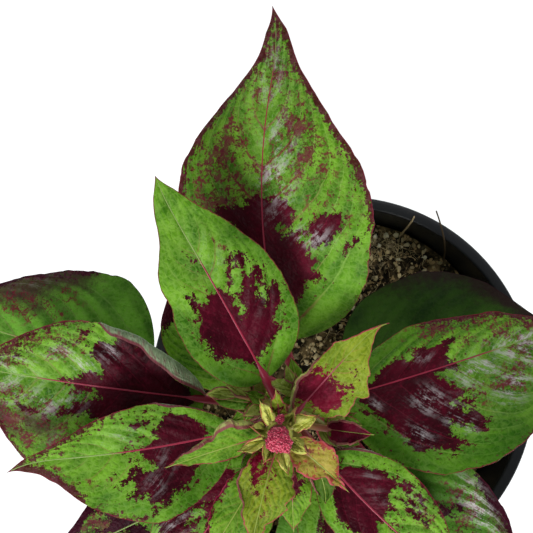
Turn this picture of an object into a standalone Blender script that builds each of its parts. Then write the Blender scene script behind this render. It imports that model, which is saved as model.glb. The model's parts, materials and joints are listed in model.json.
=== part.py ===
"""A young potted celosia: a nursery pot, its soil, a leaning stem with leaves and side shoots, and a crest.

Lengths here are in millimetres and angles in degrees, and meshes are written in metres. +Z is up, the origin
is the centre of the pot's flat base, and azimuths run from +X towards +Y.
"""
import math

import bmesh
import bpy
import numpy as np

MM = 0.001
SEED = 7
GAP = 0.3
GOLDEN_ANGLE = 137.5

POT_HEIGHT = 100.0
RIM_RADIUS = 57.9
RIM_LIP = 3.6
RIM_SKIRT = 10.0
RIM_PLATE = 1.4
BASE_RADIUS = 42.0
BASE_PLATE = 1.6
WALL = 1.3
PAD_RADIUS = 20.0
RECESS_OUTER = 36.0
RECESS = 2.0
POT_SIDES = 48
DRAIN_HOLES = 6
DRAIN_RADIUS = 3.6
DRAIN_CIRCLE = 28.0
SLOTS = 4
SLOT_WIDTH = 12.0
SLOT_DEPTH = 6.0
SLOT_HEIGHT = 5.0

SOIL_DEPTH = 15.0
SOIL_SECTORS = 32
SOIL_RADII = (50.0, 45.5, 38.0, 31.0, 23.0, 15.0, 8.0)
SOIL_EDGE_DROP = 3.0
SOIL_EDGE_START = 40.0
SOIL_EDGE_END = 50.0
SOIL_LUMP = 1.1
# Ripples of the soil's surface: radians per millimetre along x and y, phase, and share of SOIL_LUMP.
SOIL_RIPPLES = ((0.31, 0.27, 0.7, 0.5), (0.31, -0.27, 1.9, 0.5), (0.63, -0.5, 0.0, 0.6))

# The stem's centre line and radius (x, y, z, radius), from its buried foot to its tip.
STEM_LINE = (
    (-4.5, -0.7, 60.0, 3.4),
    (-4.5, -0.7, 74.0, 4.0),
    (-4.8, -0.7, 90.0, 4.1),
    (-7.5, -0.7, 106.0, 3.8),
    (-11.5, -1.4, 124.0, 3.3),
    (-15.5, -2.7, 142.0, 2.8),
    (-18.7, -4.1, 158.0, 2.3),
    (-20.5, -5.1, 170.0, 1.9),
)
STEM_RIBS = 6
STEM_RIB_DEPTH = 0.12

BLADE = 0.7
TIP_WIDTH = 0.3
LEAF_COLUMNS = 7
YOUNG_COLUMNS = 5
LEAFLET_COLUMNS = 3
LEAF_DEFAULTS = dict(
    petiole=15.0,
    petiole_pitch=32.0,
    petiole_radius=1.3,
    turn=0.0,
    hook=0.0,
    roll=0.0,
    fold=12.0,
    curl=-20.0,
    widest=0.37,
    base_power=2.4,
    tip_power=1.9,
    tip=0.0,
    wave=1.0,
    waves=3.0,
    phase=0.0,
    lean=0.0,
    teeth=0,
    tooth=0.0,
    rings=10,
)
YOUNG_DEFAULTS = dict(fold=22.0, petiole_radius=0.9, wave=0.8, waves=2.5, teeth=4, tooth=0.2)
LEAFLET_DEFAULTS = dict(
    petiole=1.5,
    petiole_pitch=45.0,
    petiole_radius=0.65,
    fold=32.0,
    curl=-30.0,
    wave=0.4,
    waves=1.5,
    rings=5,
)

# Height on the stem, azimuth, stalk, pitch of the blade at its base and tip, and its length and width. turn
# bends the whole midrib sideways and hook only its last third, and tip widens a blade's last fifth.
LEAVES = {
    "leaf_low_s": dict(z=97, azimuth=276, petiole=22, pitch=(6, -22), size=(70, 40), turn=6),
    "leaf_low_w": dict(
        z=104, azimuth=170, petiole=48, pitch=(3, -19), size=(78, 48),
        turn=-10, roll=6, widest=0.22, base_power=2.1, tip_power=1.7,
    ),
    "leaf_low_e": dict(
        z=106, azimuth=24.5, petiole=6.5, pitch=(5, -16), size=(68, 46), turn=-24.5, widest=0.39
    ),
    "leaf_low_sw": dict(z=112, azimuth=218.5, petiole=19, pitch=(3, -20), size=(77, 37), turn=-20),
    "leaf_low_se": dict(z=114, azimuth=312, petiole=19, pitch=(5, -20), size=(78.5, 40.5)),
    "leaf_mid_nw": dict(
        z=121, azimuth=152, petiole=16, pitch=(8, -12), size=(34, 24.5),
        turn=-44, widest=0.45, tip_power=1.1,
    ),
    "leaf_mid_s": dict(z=122, azimuth=292, petiole=16, pitch=(4, -22), size=(62, 36), turn=8),
    "leaf_mid_sw": dict(z=127, azimuth=230, petiole=18, pitch=(4, -24), size=(58, 30), turn=12),
    "leaf_mid_n": dict(
        z=130, azimuth=107, petiole=20, petiole_pitch=39, pitch=(33, -18), size=(92, 54),
        turn=-36, hook=33, roll=-24, lean=-0.12, widest=0.41, base_power=2.1, tip_power=2.2,
        tip=1.6, waves=2.0, rings=12,
    ),
    "leaf_mid_w": dict(
        z=132, azimuth=173, petiole=25, pitch=(13, -16), size=(71, 46),
        turn=-2, roll=-7, lean=0.24, widest=0.45, base_power=1.6, tip_power=1.8,
    ),
    "leaf_mid_e": dict(
        z=134, azimuth=17.5, petiole=9, pitch=(15, -26), size=(73, 44),
        roll=-30, lean=-0.37, widest=0.39, base_power=2.0, tip_power=1.5,
    ),
    "leaf_top_w": dict(
        z=145, azimuth=192, petiole=14, pitch=(14, -6), size=(60, 30.5),
        turn=-10, hook=29, lean=0.25, widest=0.38, base_power=1.7, tip_power=2.0, tip=0.7,
    ),
    "leaf_top_se": dict(
        z=148, azimuth=311.5, petiole=11, pitch=(15, -18), size=(56, 25.5),
        turn=14, lean=0.09, base_power=2.0,
    ),
    "leaf_top_nw": dict(
        z=151, azimuth=117, petiole=13, petiole_pitch=48, pitch=(27, 6), size=(60, 30),
        turn=4, hook=-11, roll=8, lean=-0.08, widest=0.38, base_power=2.3, tip_power=1.4, tip=0.7,
        rings=12,
    ),
}

YOUNG_LEAVES = {
    "young_leaf_ne": dict(
        z=157, azimuth=52, petiole=5, petiole_pitch=52, pitch=(32, 1), size=(33, 17),
        turn=-6, hook=-37, roll=13, lean=-0.22, tip_power=2.2, teeth=5,
    ),
    "young_leaf_s": dict(z=160, azimuth=252, petiole=3, pitch=(16, -24), size=(27, 15), turn=8),
    "young_leaf_w": dict(
        z=163, azimuth=194, petiole=3, petiole_pitch=50, pitch=(12, -14), size=(26, 9),
        turn=8, roll=-22, lean=-0.2,
    ),
    "young_leaf_se": dict(
        z=164, azimuth=322, petiole=2, petiole_pitch=50, pitch=(14, -34), size=(20, 10), turn=-10
    ),
    "young_leaf_e": dict(
        z=153, azimuth=354, petiole=9, petiole_pitch=40, pitch=(22, -5), size=(12, 8), fold=40
    ),
    "young_leaf_sse": dict(z=148.2, azimuth=271, petiole=9, pitch=(3, -32), size=(20, 11), turn=2),
    "young_leaf_sw": dict(
        z=149.5, azimuth=239, petiole=13, pitch=(10, -22), size=(28, 14), teeth=5, tooth=0.1
    ),
    "young_leaf_n": dict(
        z=162, azimuth=98, petiole=3, petiole_pitch=60, pitch=(55, 30), size=(10, 4), teeth=0
    ),
}

# Side shoots: height on the stem, azimuth, stalk length and pitch, then each leaflet's azimuth, pitch,
# length and width, from the lowest up.
SHOOTS = {
    "side_shoot_nw": (143, 150, 10, 52, ((178, 20, 12, 6), (128, 35, 9, 5), (205, 48, 8, 4), (150, 60, 8, 4))),
    "side_shoot_n": (146, 74, 10, 66, ((10, 20, 8, 4), (50, 40, 8, 4), (100, 62, 9, 4), (60, 78, 7, 3))),
    "side_shoot_e": (141, 342, 9, 56, ((310, 15, 8, 4), (20, 30, 9, 5), (345, 62, 8, 4))),
    "side_shoot_se": (153, 308, 7, 48, ((318, 20, 13, 6), (285, 35, 8, 4), (305, 65, 6, 3))),
    "side_shoot_sw": (138, 218, 9, 56, ((262, 20, 10, 5), (206, 10, 9, 5), (196, 60, 8, 4))),
}
SHOOT_RADIUS = 1.3

# Crest lumps: offset from the crest's centre (x, y, z) and radius.
CREST_RISE = 5.0
CREST_LUMPS = ((0.0, 0.0, 0.0, 3.0), (1.9, -1.1, -0.7, 2.1), (-2.0, 0.4, -0.9, 1.8), (0.5, 4.3, -2.4, 1.3))
CREST_FLORETS = 44
NECK_RADIUS = 1.6
FLORET_SIDES = 5
FLORET_REACH = 1.2
FLORET_ROOT = 0.75
FLORET_TIP = 0.2
FLORET_SINK = 0.5
# How far down each lump its florets go, as a share of the lump's radius, from the top.
FLORET_SPREAD = 1.3
# Bracts: azimuth, pitch at the base and the tip, length and width.
BRACTS = (
    (28, (32, 12), 8.0, 4.4),
    (58, (50, 30), 5.5, 3.4),
    (118, (38, 18), 7.0, 3.4),
    (160, (54, 34), 5.0, 3.6),
    (200, (36, 16), 7.5, 3.6),
    (240, (52, 32), 5.0, 3.8),
    (284, (34, 14), 6.5, 3.4),
    (332, (50, 32), 6.0, 3.8),
)
BRACT_DROP = 2.6
COLLAR_WIDTH = 1.1
COLLAR_HEIGHT = 1.6


def clear_scene():
    for obj in list(bpy.data.objects):
        bpy.data.objects.remove(obj)


def new_collection(name, hidden=False):
    made = bpy.data.collections.new(name)
    made.hide_render = hidden
    bpy.context.scene.collection.children.link(made)
    return made


def material(name, colour, roughness):
    made = bpy.data.materials.new(name)
    made.use_nodes = True
    shader = made.node_tree.nodes["Principled BSDF"]
    shader.inputs["Base Color"].default_value = (*colour, 1.0)
    shader.inputs["Roughness"].default_value = roughness
    shader.inputs["Metallic"].default_value = 0.0
    return made


def place(name, data, collection, look=None):
    obj = bpy.data.objects.new(name, data)
    collection.objects.link(obj)
    if look:
        data.materials.clear()
        data.materials.append(look)
    return obj


def mesh_from(build, name):
    mesh = bpy.data.meshes.new(name)
    build.to_mesh(mesh)
    build.free()
    return mesh


def applied(obj):
    """The object's mesh with its modifiers applied."""
    graph = bpy.context.evaluated_depsgraph_get()
    mesh = bpy.data.meshes.new_from_object(obj.evaluated_get(graph))
    obj.modifiers.clear()
    return mesh


def smooth_step(x):
    x = min(1.0, max(0.0, x))
    return x * x * (3 - 2 * x)


def turned(name, profile, steps, collection, look, ring=False):
    """A body turned round +Z from a half section that runs down its outer side.

    The section starts and ends on the axis, or is closed on itself for a ring.
    """
    build = bmesh.new()
    points = [build.verts.new((radius * MM, 0, z * MM)) for radius, z in profile]
    for pair in zip(points, points[1:] + points[:1] if ring else points[1:]):
        build.edges.new(pair)
    obj = place(name, mesh_from(build, name), collection, look)
    screw = obj.modifiers.new("turn", "SCREW")
    screw.steps = steps
    screw.render_steps = steps
    screw.use_merge_vertices = True
    screw.merge_threshold = 1e-6
    return obj


def cutter(collection):
    """Moves the primitive that was just added in among the cutters."""
    obj = bpy.context.object
    for owner in list(obj.users_collection):
        owner.objects.unlink(obj)
    collection.objects.link(obj)
    obj.hide_render = True
    obj.display_type = "WIRE"
    return obj


def cut(obj, cutters):
    modifier = obj.modifiers.new("cut", "BOOLEAN")
    modifier.operation = "DIFFERENCE"
    modifier.operand_type = "COLLECTION"
    modifier.collection = cutters


def united(name, meshes, collection, look):
    """One closed body from meshes that overlap."""
    pieces = new_collection(name + "_pieces")
    obj = place(name, meshes[0], collection, look)
    for number, mesh in enumerate(meshes[1:]):
        place(f"{name}_{number}", mesh, pieces, look)
    modifier = obj.modifiers.new("unite", "BOOLEAN")
    modifier.operation = "UNION"
    modifier.operand_type = "COLLECTION"
    modifier.collection = pieces
    modifier.solver = "MANIFOLD"
    obj.data = applied(obj)
    for piece in list(pieces.objects):
        bpy.data.objects.remove(piece)
    bpy.data.collections.remove(pieces)
    return obj


def wall_outside(z):
    return BASE_RADIUS + (RIM_RADIUS - RIM_LIP + WALL - BASE_RADIUS) * z / POT_HEIGHT


def wall_inside(z):
    return wall_outside(z) - WALL


def make_pot(collection, cutters, look):
    """A tapered pot whose rim folds over into a skirt, with a recess under its base and drain holes."""
    plate_under = POT_HEIGHT - RIM_PLATE
    skirt_foot = POT_HEIGHT - RIM_SKIRT
    profile = (
        (0.0, BASE_PLATE),
        (PAD_RADIUS - 0.5, BASE_PLATE),
        (PAD_RADIUS + 1.0, BASE_PLATE + RECESS),
        (RECESS_OUTER - 1.0, BASE_PLATE + RECESS),
        (RECESS_OUTER + 0.5, BASE_PLATE),
        (wall_inside(BASE_PLATE), BASE_PLATE),
        (RIM_RADIUS - RIM_LIP, POT_HEIGHT - 0.6),
        (RIM_RADIUS - RIM_LIP + 0.6, POT_HEIGHT),
        (RIM_RADIUS - 0.9, POT_HEIGHT),
        (RIM_RADIUS, POT_HEIGHT - 0.9),
        (RIM_RADIUS, skirt_foot),
        (RIM_RADIUS - WALL, skirt_foot),
        (RIM_RADIUS - WALL, plate_under),
        (wall_outside(plate_under), plate_under),
        (BASE_RADIUS, 0.8),
        (BASE_RADIUS - 0.8, 0.0),
        (RECESS_OUTER, 0.0),
        (RECESS_OUTER - 1.5, RECESS),
        (PAD_RADIUS + 1.5, RECESS),
        (PAD_RADIUS, 0.0),
        (0.0, 0.0),
    )
    pot = turned("pot", profile, POT_SIDES, collection, look)
    pot.data.shade_smooth()
    for k in range(DRAIN_HOLES):
        a = 2 * math.pi * k / DRAIN_HOLES
        bpy.ops.mesh.primitive_cylinder_add(
            vertices=12,
            radius=DRAIN_RADIUS * MM,
            depth=20 * MM,
            location=(DRAIN_CIRCLE * MM * math.cos(a), DRAIN_CIRCLE * MM * math.sin(a), 0),
        )
        cutter(cutters)
    for k in range(SLOTS):
        a = 2 * math.pi * (k + 0.5) / SLOTS
        bpy.ops.mesh.primitive_cube_add(
            size=1,
            location=(BASE_RADIUS * MM * math.cos(a), BASE_RADIUS * MM * math.sin(a), 0),
            rotation=(0, 0, a),
            scale=(SLOT_DEPTH * MM, SLOT_WIDTH * MM, 2 * SLOT_HEIGHT * MM),
        )
        cutter(cutters)
    cut(pot, cutters)
    return pot


def soil_rise(x, y, radius):
    """How far the uneven surface stands above its mean level: it falls away to the pot's wall."""
    lumps = sum(share * math.sin(a * x + b * y + phase) for a, b, phase, share in SOIL_RIPPLES)
    outward = (radius - SOIL_EDGE_START) / (SOIL_EDGE_END - SOIL_EDGE_START)
    return SOIL_LUMP * lumps - SOIL_EDGE_DROP * smooth_step(outward)


def make_soil(collection, cutters, look):
    """Soil up to below the rim, with a lumpy surface and a plain hole for the stem."""
    floor = BASE_PLATE + RECESS + GAP
    level = POT_HEIGHT - SOIL_DEPTH
    edge = level - SOIL_EDGE_DROP - 2 * SOIL_LUMP
    profile = [(0.0, level), *((radius, level) for radius in SOIL_RADII[::-1])]
    profile += [(wall_inside(edge) - GAP, edge), (wall_inside(floor) - GAP, floor), (0.0, floor)]
    soil = turned("soil", profile, SOIL_SECTORS, collection, look)
    soil.data = applied(soil)
    for vertex in soil.data.vertices:
        x, y, z = (value / MM for value in vertex.co)
        if z > level - 0.1:
            vertex.co.z += soil_rise(x, y, math.hypot(x, y)) * MM
    soil.data.shade_smooth()
    foot_x, foot_y, foot_z, _ = STEM_LINE[0]
    height = POT_HEIGHT - foot_z
    bpy.ops.mesh.primitive_cylinder_add(
        vertices=20,
        radius=(stem_radius(level) + 2 * GAP) * MM,
        depth=height * MM,
        location=(foot_x * MM, foot_y * MM, (foot_z - GAP + height / 2) * MM),
    )
    cutter(cutters)
    cut(soil, cutters)
    return soil


def stem_point(z):
    line = np.array(STEM_LINE)
    return np.array([np.interp(z, line[:, 2], line[:, 0]), np.interp(z, line[:, 2], line[:, 1]), z])


def stem_radius(z):
    line = np.array(STEM_LINE)
    return float(np.interp(z, line[:, 2], line[:, 3]))


def poly_curve(name, points, cyclic):
    """A curve through points (x, y, z, radius) in millimetres, with straight stretches between them."""
    curve = bpy.data.curves.new(name, "CURVE")
    curve.dimensions = "3D"
    spline = curve.splines.new("POLY")
    spline.points.add(len(points) - 1)
    for target, (x, y, z, radius) in zip(spline.points, points):
        target.co = (x * MM, y * MM, z * MM, 1.0)
        target.radius = radius
    spline.use_cyclic_u = cyclic
    return curve


def make_stem(collection, guides, look):
    """A tapering stem with shallow ribs: a curve whose section is a ribbed circle of radius 1."""
    section = []
    for k in range(2 * STEM_RIBS):
        a = -math.pi * k / STEM_RIBS
        reach = 1.0 if k % 2 else 1.0 - STEM_RIB_DEPTH
        section.append((reach * math.cos(a), reach * math.sin(a), 0, 1))
    outline = place("stem_section", poly_curve("stem_section", section, True), guides)
    outline.hide_render = True
    outline.display_type = "WIRE"
    curve = poly_curve("stem", STEM_LINE, False)
    curve.bevel_mode = "OBJECT"
    curve.bevel_object = outline
    curve.use_fill_caps = True
    return place("stem", curve, collection, look)


def heading(azimuth, pitch):
    a, p = math.radians(azimuth), math.radians(pitch)
    return np.array([math.cos(p) * math.cos(a), math.cos(p) * math.sin(a), math.sin(p)])


def half_outline(t, widest, base_power, tip_power):
    """Share of the full half width at t along the midrib: a round base and a drawn-out tip."""
    if t < widest:
        return (1 - (1 - t / widest) ** base_power) ** (1 / base_power)
    return (1 - ((t - widest) / (1 - widest)) ** 2) ** tip_power


class Leaf:
    """A stalk and a blade: where its midrib runs, which way it faces and any point of its surface."""

    def __init__(self, root, spec):
        self.spec = {**LEAF_DEFAULTS, **spec}
        self.length, self.width = self.spec["size"]
        self.root = np.asarray(root, float)
        steps = 64
        spots = [self.stalk(1.0)[0]]
        for k in range(steps):
            spots.append(spots[-1] + self.along((k + 0.5) / steps) * self.length / steps)
        self.line = np.array(spots)

    def stalk(self, u):
        """Point and direction at u along the stalk, which bends from its own pitch to the blade's."""
        first, last = self.spec["petiole_pitch"], self.spec["pitch"][0]
        point = self.root.copy()
        steps = 12
        for k in range(steps):
            pitch = first + (last - first) * u * (k + 0.5) / steps
            point = point + heading(self.spec["azimuth"], pitch) * self.spec["petiole"] * u / steps
        return point, heading(self.spec["azimuth"], first + (last - first) * u)

    def bearing(self, t):
        bend = max(0.0, (t - 0.7) / 0.3) ** 2
        return self.spec["azimuth"] + self.spec["turn"] * t + self.spec["hook"] * bend

    def along(self, t):
        low, high = self.spec["pitch"]
        return heading(self.bearing(t), low + (high - low) * t)

    def midrib(self, t):
        at = t * (len(self.line) - 1)
        return np.array([np.interp(at, range(len(self.line)), axis) for axis in self.line.T])

    def facing(self, t):
        """Directions to the left of the midrib and out of the blade's upper face."""
        along = self.along(t)
        azimuth = math.radians(self.bearing(t))
        level = np.array([-math.sin(azimuth), math.cos(azimuth), 0.0])
        roll = math.radians(self.spec["roll"])
        left = level * math.cos(roll) + np.cross(along, level) * math.sin(roll)
        return left, np.cross(along, left)

    def half_width(self, t, side):
        share = half_outline(t, self.spec["widest"], self.spec["base_power"], self.spec["tip_power"])
        notch = 1 - self.spec["tooth"] * (self.spec["teeth"] * t % 1.0)
        tip = self.spec["tip"] * smooth_step((t - 0.8) / 0.13) * min(1.0, (1 - t) / 0.08)
        return self.width / 2 * share * notch * (1 + self.spec["lean"] * side) + tip

    def surface(self, t, v):
        """The blade's middle layer at t along it and v across it, from -1 at its right edge to 1."""
        left, up = self.facing(t)
        side = 1 if v >= 0 else -1
        reach = abs(v) * self.half_width(t, side)
        angle = math.radians(self.spec["fold"] + self.spec["curl"] * abs(v) / 2)
        swing = math.sin(2 * math.pi * (self.spec["waves"] * t + self.spec["phase"] + 0.25 * side))
        lift = self.spec["wave"] * v * v * swing * min(1.0, 4 * self.half_width(t, side) / self.width)
        return self.midrib(t) + left * side * reach * math.cos(angle) + up * (reach * math.sin(angle) + lift)

    def stations(self):
        """Where the rings stand along the blade: closer at its base and tip, or at each tooth and notch."""
        teeth = self.spec["teeth"]
        if teeth:
            steps = [(k + share) / teeth for k in range(teeth) for share in (0.05, 0.9)]
            return [0.01, *steps[:-1], 0.93, 1.0]
        count = self.spec["rings"]
        return [0.01 + 0.99 * (1 - math.cos(math.pi * k / count)) / 2 for k in range(count + 1)]


def round_ring(centre, left, up, radius, columns):
    """A circle with as many points over its upper half as over its lower half."""
    upper = [math.pi * (k + 0.5) / columns for k in range(columns)]
    angles = upper + [math.pi + a for a in upper]
    return np.array([centre + (left * math.cos(a) + up * math.sin(a)) * radius for a in angles])


def leaf_rings(leaf, columns):
    """Rings from the stalk's upright foot, along the round stalk, to the blade's tip."""
    across = [1 - 2 * k / (columns - 1) for k in range(columns)]
    radius = leaf.spec["petiole_radius"]
    rings = []
    for u in (0.0, 0.35, 0.7):
        centre, along = leaf.stalk(u)
        left, _ = leaf.facing(0)
        forward = heading(leaf.spec["azimuth"], 0) if u == 0 else along
        rings.append(round_ring(centre, left, np.cross(forward, left), radius, columns))
    for t in leaf.stations():
        left, up = leaf.facing(t)
        flat = smooth_step(t / 0.06)
        rib = 0.7 * radius * (1 - t)
        circle = round_ring(leaf.midrib(t), left, up, radius * 0.9, columns)
        # At the tip the two faces keep a small width, so the last ring has an area.
        spread = [left * TIP_WIDTH / 2 * v * smooth_step((t - 0.9) / 0.1) for v in across]
        upper = [leaf.surface(t, v) + up * BLADE / 2 + s for v, s in zip(across, spread)]
        lower = [
            leaf.surface(t, v) - up * (BLADE / 2 + rib * max(0.0, 1 - 3 * abs(v))) + s
            for v, s in zip(across, spread)
        ]
        rings.append(circle * (1 - flat) + np.array(upper + lower[::-1]) * flat)
    return rings


def skin(name, rings):
    """A closed mesh through rings with equal counts, with a fan over each end.

    The diagonals mirror from the upper half of the rings to the lower, so a blade's two faces match.
    """
    count = len(rings[0])
    build = bmesh.new()
    rows = [[build.verts.new(point * MM) for point in ring] for ring in rings]
    for row, following in zip(rows, rows[1:]):
        for k in range(count):
            n = (k + 1) % count
            if k < count // 2:
                build.faces.new((row[k], row[n], following[n]))
                build.faces.new((row[k], following[n], following[k]))
            else:
                build.faces.new((row[k], row[n], following[k]))
                build.faces.new((row[n], following[n], following[k]))
    for row, turn in ((rows[0], -1), (rows[-1], 1)):
        middle = build.verts.new(np.mean([vertex.co for vertex in row], axis=0))
        for k in range(count):
            build.faces.new((*(row[k], row[(k + 1) % count])[::turn], middle))
    mesh = mesh_from(build, name)
    mesh.shade_smooth()
    return mesh


def stem_root(z, azimuth):
    """Where a stalk's foot stands, clear of the stem by the gap."""
    return stem_point(z) + (stem_radius(z) + GAP + 0.1) * heading(azimuth, 0)


def make_leaf(name, spec, columns, collection, look):
    leaf = Leaf(stem_root(spec["z"], spec["azimuth"]), spec)
    return place(name, skin(name, leaf_rings(leaf, columns)), collection, look)


def make_shoot(name, spec, collection, look):
    """A short stalk from a leaf's axil with small folded leaves up it."""
    z, azimuth, length, pitch, leaflets = spec
    root = stem_root(z, azimuth)
    forward, along = heading(azimuth, 0), heading(azimuth, pitch)
    left = np.cross((0, 0, 1), forward)
    rings = [round_ring(root, left, np.cross(forward, left), SHOOT_RADIUS, LEAFLET_COLUMNS)]
    for share in (0.3, 1.0):
        at = root + along * length * share
        radius = SHOOT_RADIUS * (1 - 0.25 * share)
        rings.append(round_ring(at, left, np.cross(along, left), radius, LEAFLET_COLUMNS))
    meshes = [skin(name, rings)]
    for k, (leaflet_azimuth, leaflet_pitch, leaflet_length, leaflet_width) in enumerate(leaflets):
        at = root + along * length * (0.55 + 0.4 * k / (len(leaflets) - 1))
        leaflet = Leaf(
            at,
            {
                **LEAFLET_DEFAULTS,
                "azimuth": leaflet_azimuth,
                "pitch": (leaflet_pitch, leaflet_pitch - 30),
                "size": (leaflet_length, leaflet_width),
            },
        )
        meshes.append(skin(f"{name}_leaflet", leaf_rings(leaflet, LEAFLET_COLUMNS)))
    return united(name, meshes, collection, look)


def crest_centre():
    return stem_point(STEM_LINE[-1][2]) + np.array([0.0, 0.0, CREST_RISE])


def primitive(name, make, centre, out=(0, 0, 1), **settings):
    """A bmesh primitive moved to a centre in millimetres, with its +Z turned to the direction given."""
    build = bmesh.new()
    make(build, **settings)
    mesh = mesh_from(build, name)
    side = np.cross(out, (0.31, 0.17, 0.94))
    side = side / np.linalg.norm(side)
    axes = np.array([side, np.cross(out, side), out]).T
    for vertex in mesh.vertices:
        vertex.co = axes @ np.array(vertex.co) + np.asarray(centre) * MM
    return mesh


def make_crest(collection, look):
    """Lumps of the young crest on a short neck, each covered in florets on an even spiral."""
    rng = np.random.default_rng(SEED)
    centre = crest_centre()
    tip = stem_point(STEM_LINE[-1][2])
    area = sum(lump[3] ** 2 for lump in CREST_LUMPS)
    neck = primitive(
        "neck",
        bmesh.ops.create_cone,
        (tip + centre + np.array([0, 0, 2 * GAP])) / 2,
        cap_ends=True,
        segments=8,
        radius1=NECK_RADIUS * MM,
        radius2=NECK_RADIUS * MM,
        depth=(CREST_RISE - 2 * GAP) * MM,
    )
    meshes = [neck]
    for x, y, z, radius in CREST_LUMPS:
        middle = centre + np.array([x, y, z])
        meshes.append(
            primitive(
                "lump",
                bmesh.ops.create_uvsphere,
                middle,
                u_segments=8,
                v_segments=6,
                radius=radius * MM,
            )
        )
        count = round(CREST_FLORETS * radius ** 2 / area)
        for k in range(count):
            rise = 1 - FLORET_SPREAD * (k + 0.5) / count
            turn = math.radians(GOLDEN_ANGLE * k) + rng.uniform(-0.2, 0.2)
            flat = math.sqrt(1 - rise ** 2)
            out = np.array([flat * math.cos(turn), flat * math.sin(turn), rise])
            floret = primitive(
                "floret",
                bmesh.ops.create_cone,
                middle + out * (radius - FLORET_SINK + FLORET_REACH / 2),
                out,
                cap_ends=True,
                segments=FLORET_SIDES,
                radius1=FLORET_ROOT * MM,
                radius2=FLORET_TIP * MM,
                depth=(FLORET_REACH + 2 * FLORET_SINK) * MM,
            )
            meshes.append(floret)
    return united("crest", meshes, collection, look)


def make_bracts(collection, look):
    """A collar round the stem's tip with small pointed leaves that cup the crest."""
    centre = stem_point(STEM_LINE[-1][2] - BRACT_DROP)
    inner = stem_radius(centre[2]) + 2 * GAP
    outer = inner + COLLAR_WIDTH
    half = COLLAR_HEIGHT / 2
    profile = ((inner, half), (outer, half), (outer, -half), (inner, -half))
    ring = turned("collar", profile, 16, collection, look, ring=True)
    collar = applied(ring)
    bpy.data.objects.remove(ring)
    for vertex in collar.vertices:
        vertex.co = np.array(vertex.co) + centre * MM
    meshes = [collar]
    for azimuth, pitch, length, width in BRACTS:
        spec = {
            **LEAFLET_DEFAULTS,
            "azimuth": azimuth,
            "petiole": 1.0,
            "pitch": pitch,
            "size": (length, width),
        }
        root = centre + heading(azimuth, 0) * (inner + outer) / 2
        meshes.append(skin("bract", leaf_rings(Leaf(root, spec), LEAFLET_COLUMNS)))
    return united("bracts", meshes, collection, look)


def main():
    clear_scene()
    plant = new_collection("potted_celosia")
    pot_cutters = new_collection("pot_cutters", hidden=True)
    soil_cutters = new_collection("soil_cutters", hidden=True)
    guides = new_collection("guides", hidden=True)
    black = material("pot_plastic", (0.018, 0.020, 0.023), 0.45)
    earth = material("soil", (0.035, 0.024, 0.015), 0.95)
    stalk = material("stem_green", (0.19, 0.26, 0.06), 0.5)
    blade = material("leaf_green", (0.13, 0.27, 0.04), 0.4)
    tender = material("young_green", (0.30, 0.38, 0.06), 0.45)
    pink = material("crest_pink", (0.55, 0.05, 0.14), 0.6)
    make_pot(plant, pot_cutters, black)
    make_soil(plant, soil_cutters, earth)
    make_stem(plant, guides, stalk)
    for name, spec in LEAVES.items():
        make_leaf(name, spec, LEAF_COLUMNS, plant, blade)
    for name, spec in YOUNG_LEAVES.items():
        make_leaf(name, {**YOUNG_DEFAULTS, **spec}, YOUNG_COLUMNS, plant, tender)
    for name, spec in SHOOTS.items():
        make_shoot(name, spec, plant, tender)
    make_bracts(plant, tender)
    make_crest(plant, pink)


main()
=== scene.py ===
"""The looks of the potted celosia: fine leaves with blotches and veins, crest, soil, pot, light and camera.

Lengths are in millimetres and angles in degrees until a mesh is written, as in the part's own frame: +Z is up
and the origin is the centre of the pot's flat base.
"""
import itertools
import json
import math

import bmesh
import bpy
import numpy as np
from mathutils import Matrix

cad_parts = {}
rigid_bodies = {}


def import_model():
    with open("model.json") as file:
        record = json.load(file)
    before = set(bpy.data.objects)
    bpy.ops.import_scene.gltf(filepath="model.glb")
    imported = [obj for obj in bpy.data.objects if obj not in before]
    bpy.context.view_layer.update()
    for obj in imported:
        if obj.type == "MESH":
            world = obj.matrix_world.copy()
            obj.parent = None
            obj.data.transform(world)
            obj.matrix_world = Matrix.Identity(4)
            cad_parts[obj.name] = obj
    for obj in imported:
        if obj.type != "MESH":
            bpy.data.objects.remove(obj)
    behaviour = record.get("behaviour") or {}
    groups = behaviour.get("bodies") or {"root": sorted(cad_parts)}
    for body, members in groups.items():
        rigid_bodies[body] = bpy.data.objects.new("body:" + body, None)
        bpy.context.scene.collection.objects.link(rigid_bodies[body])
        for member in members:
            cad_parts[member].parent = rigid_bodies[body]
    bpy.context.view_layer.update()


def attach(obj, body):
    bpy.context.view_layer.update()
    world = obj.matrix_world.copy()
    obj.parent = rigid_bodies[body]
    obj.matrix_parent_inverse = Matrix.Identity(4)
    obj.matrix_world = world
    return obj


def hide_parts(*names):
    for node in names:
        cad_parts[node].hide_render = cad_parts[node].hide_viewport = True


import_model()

MM = 0.001

# The camera looks straight down on the plant, with +Y at the top of the picture.
CAMERA_PLACE = (-23.1, 36.8, 480.0)
CAMERA_LENS = 85.17
SENSOR = 36.0
# Floor and lamps, in metres and watts: a lamp's name, place, size and power.
FLOOR_SIZE = 60.0
FLOOR_GAP = 0.0002
FLOOR_COLOUR = (0.3, 0.3, 0.3, 1.0)
FLOOR_GLOW = (0.97, 1.0, 1.0, 1.0)
FLOOR_GLOW_STRENGTH = 0.97
SKY_COLOUR = (0.95, 0.97, 1.0, 1.0)
SKY_STRENGTH = 0.3
LIGHT_AIM = (0.0, 0.0, 0.1)
LIGHTS = (("key", (-0.35, -0.8, 0.9), 0.45, 11.0), ("fill", (0.3, 0.7, 1.1), 0.9, 2.5))

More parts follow.
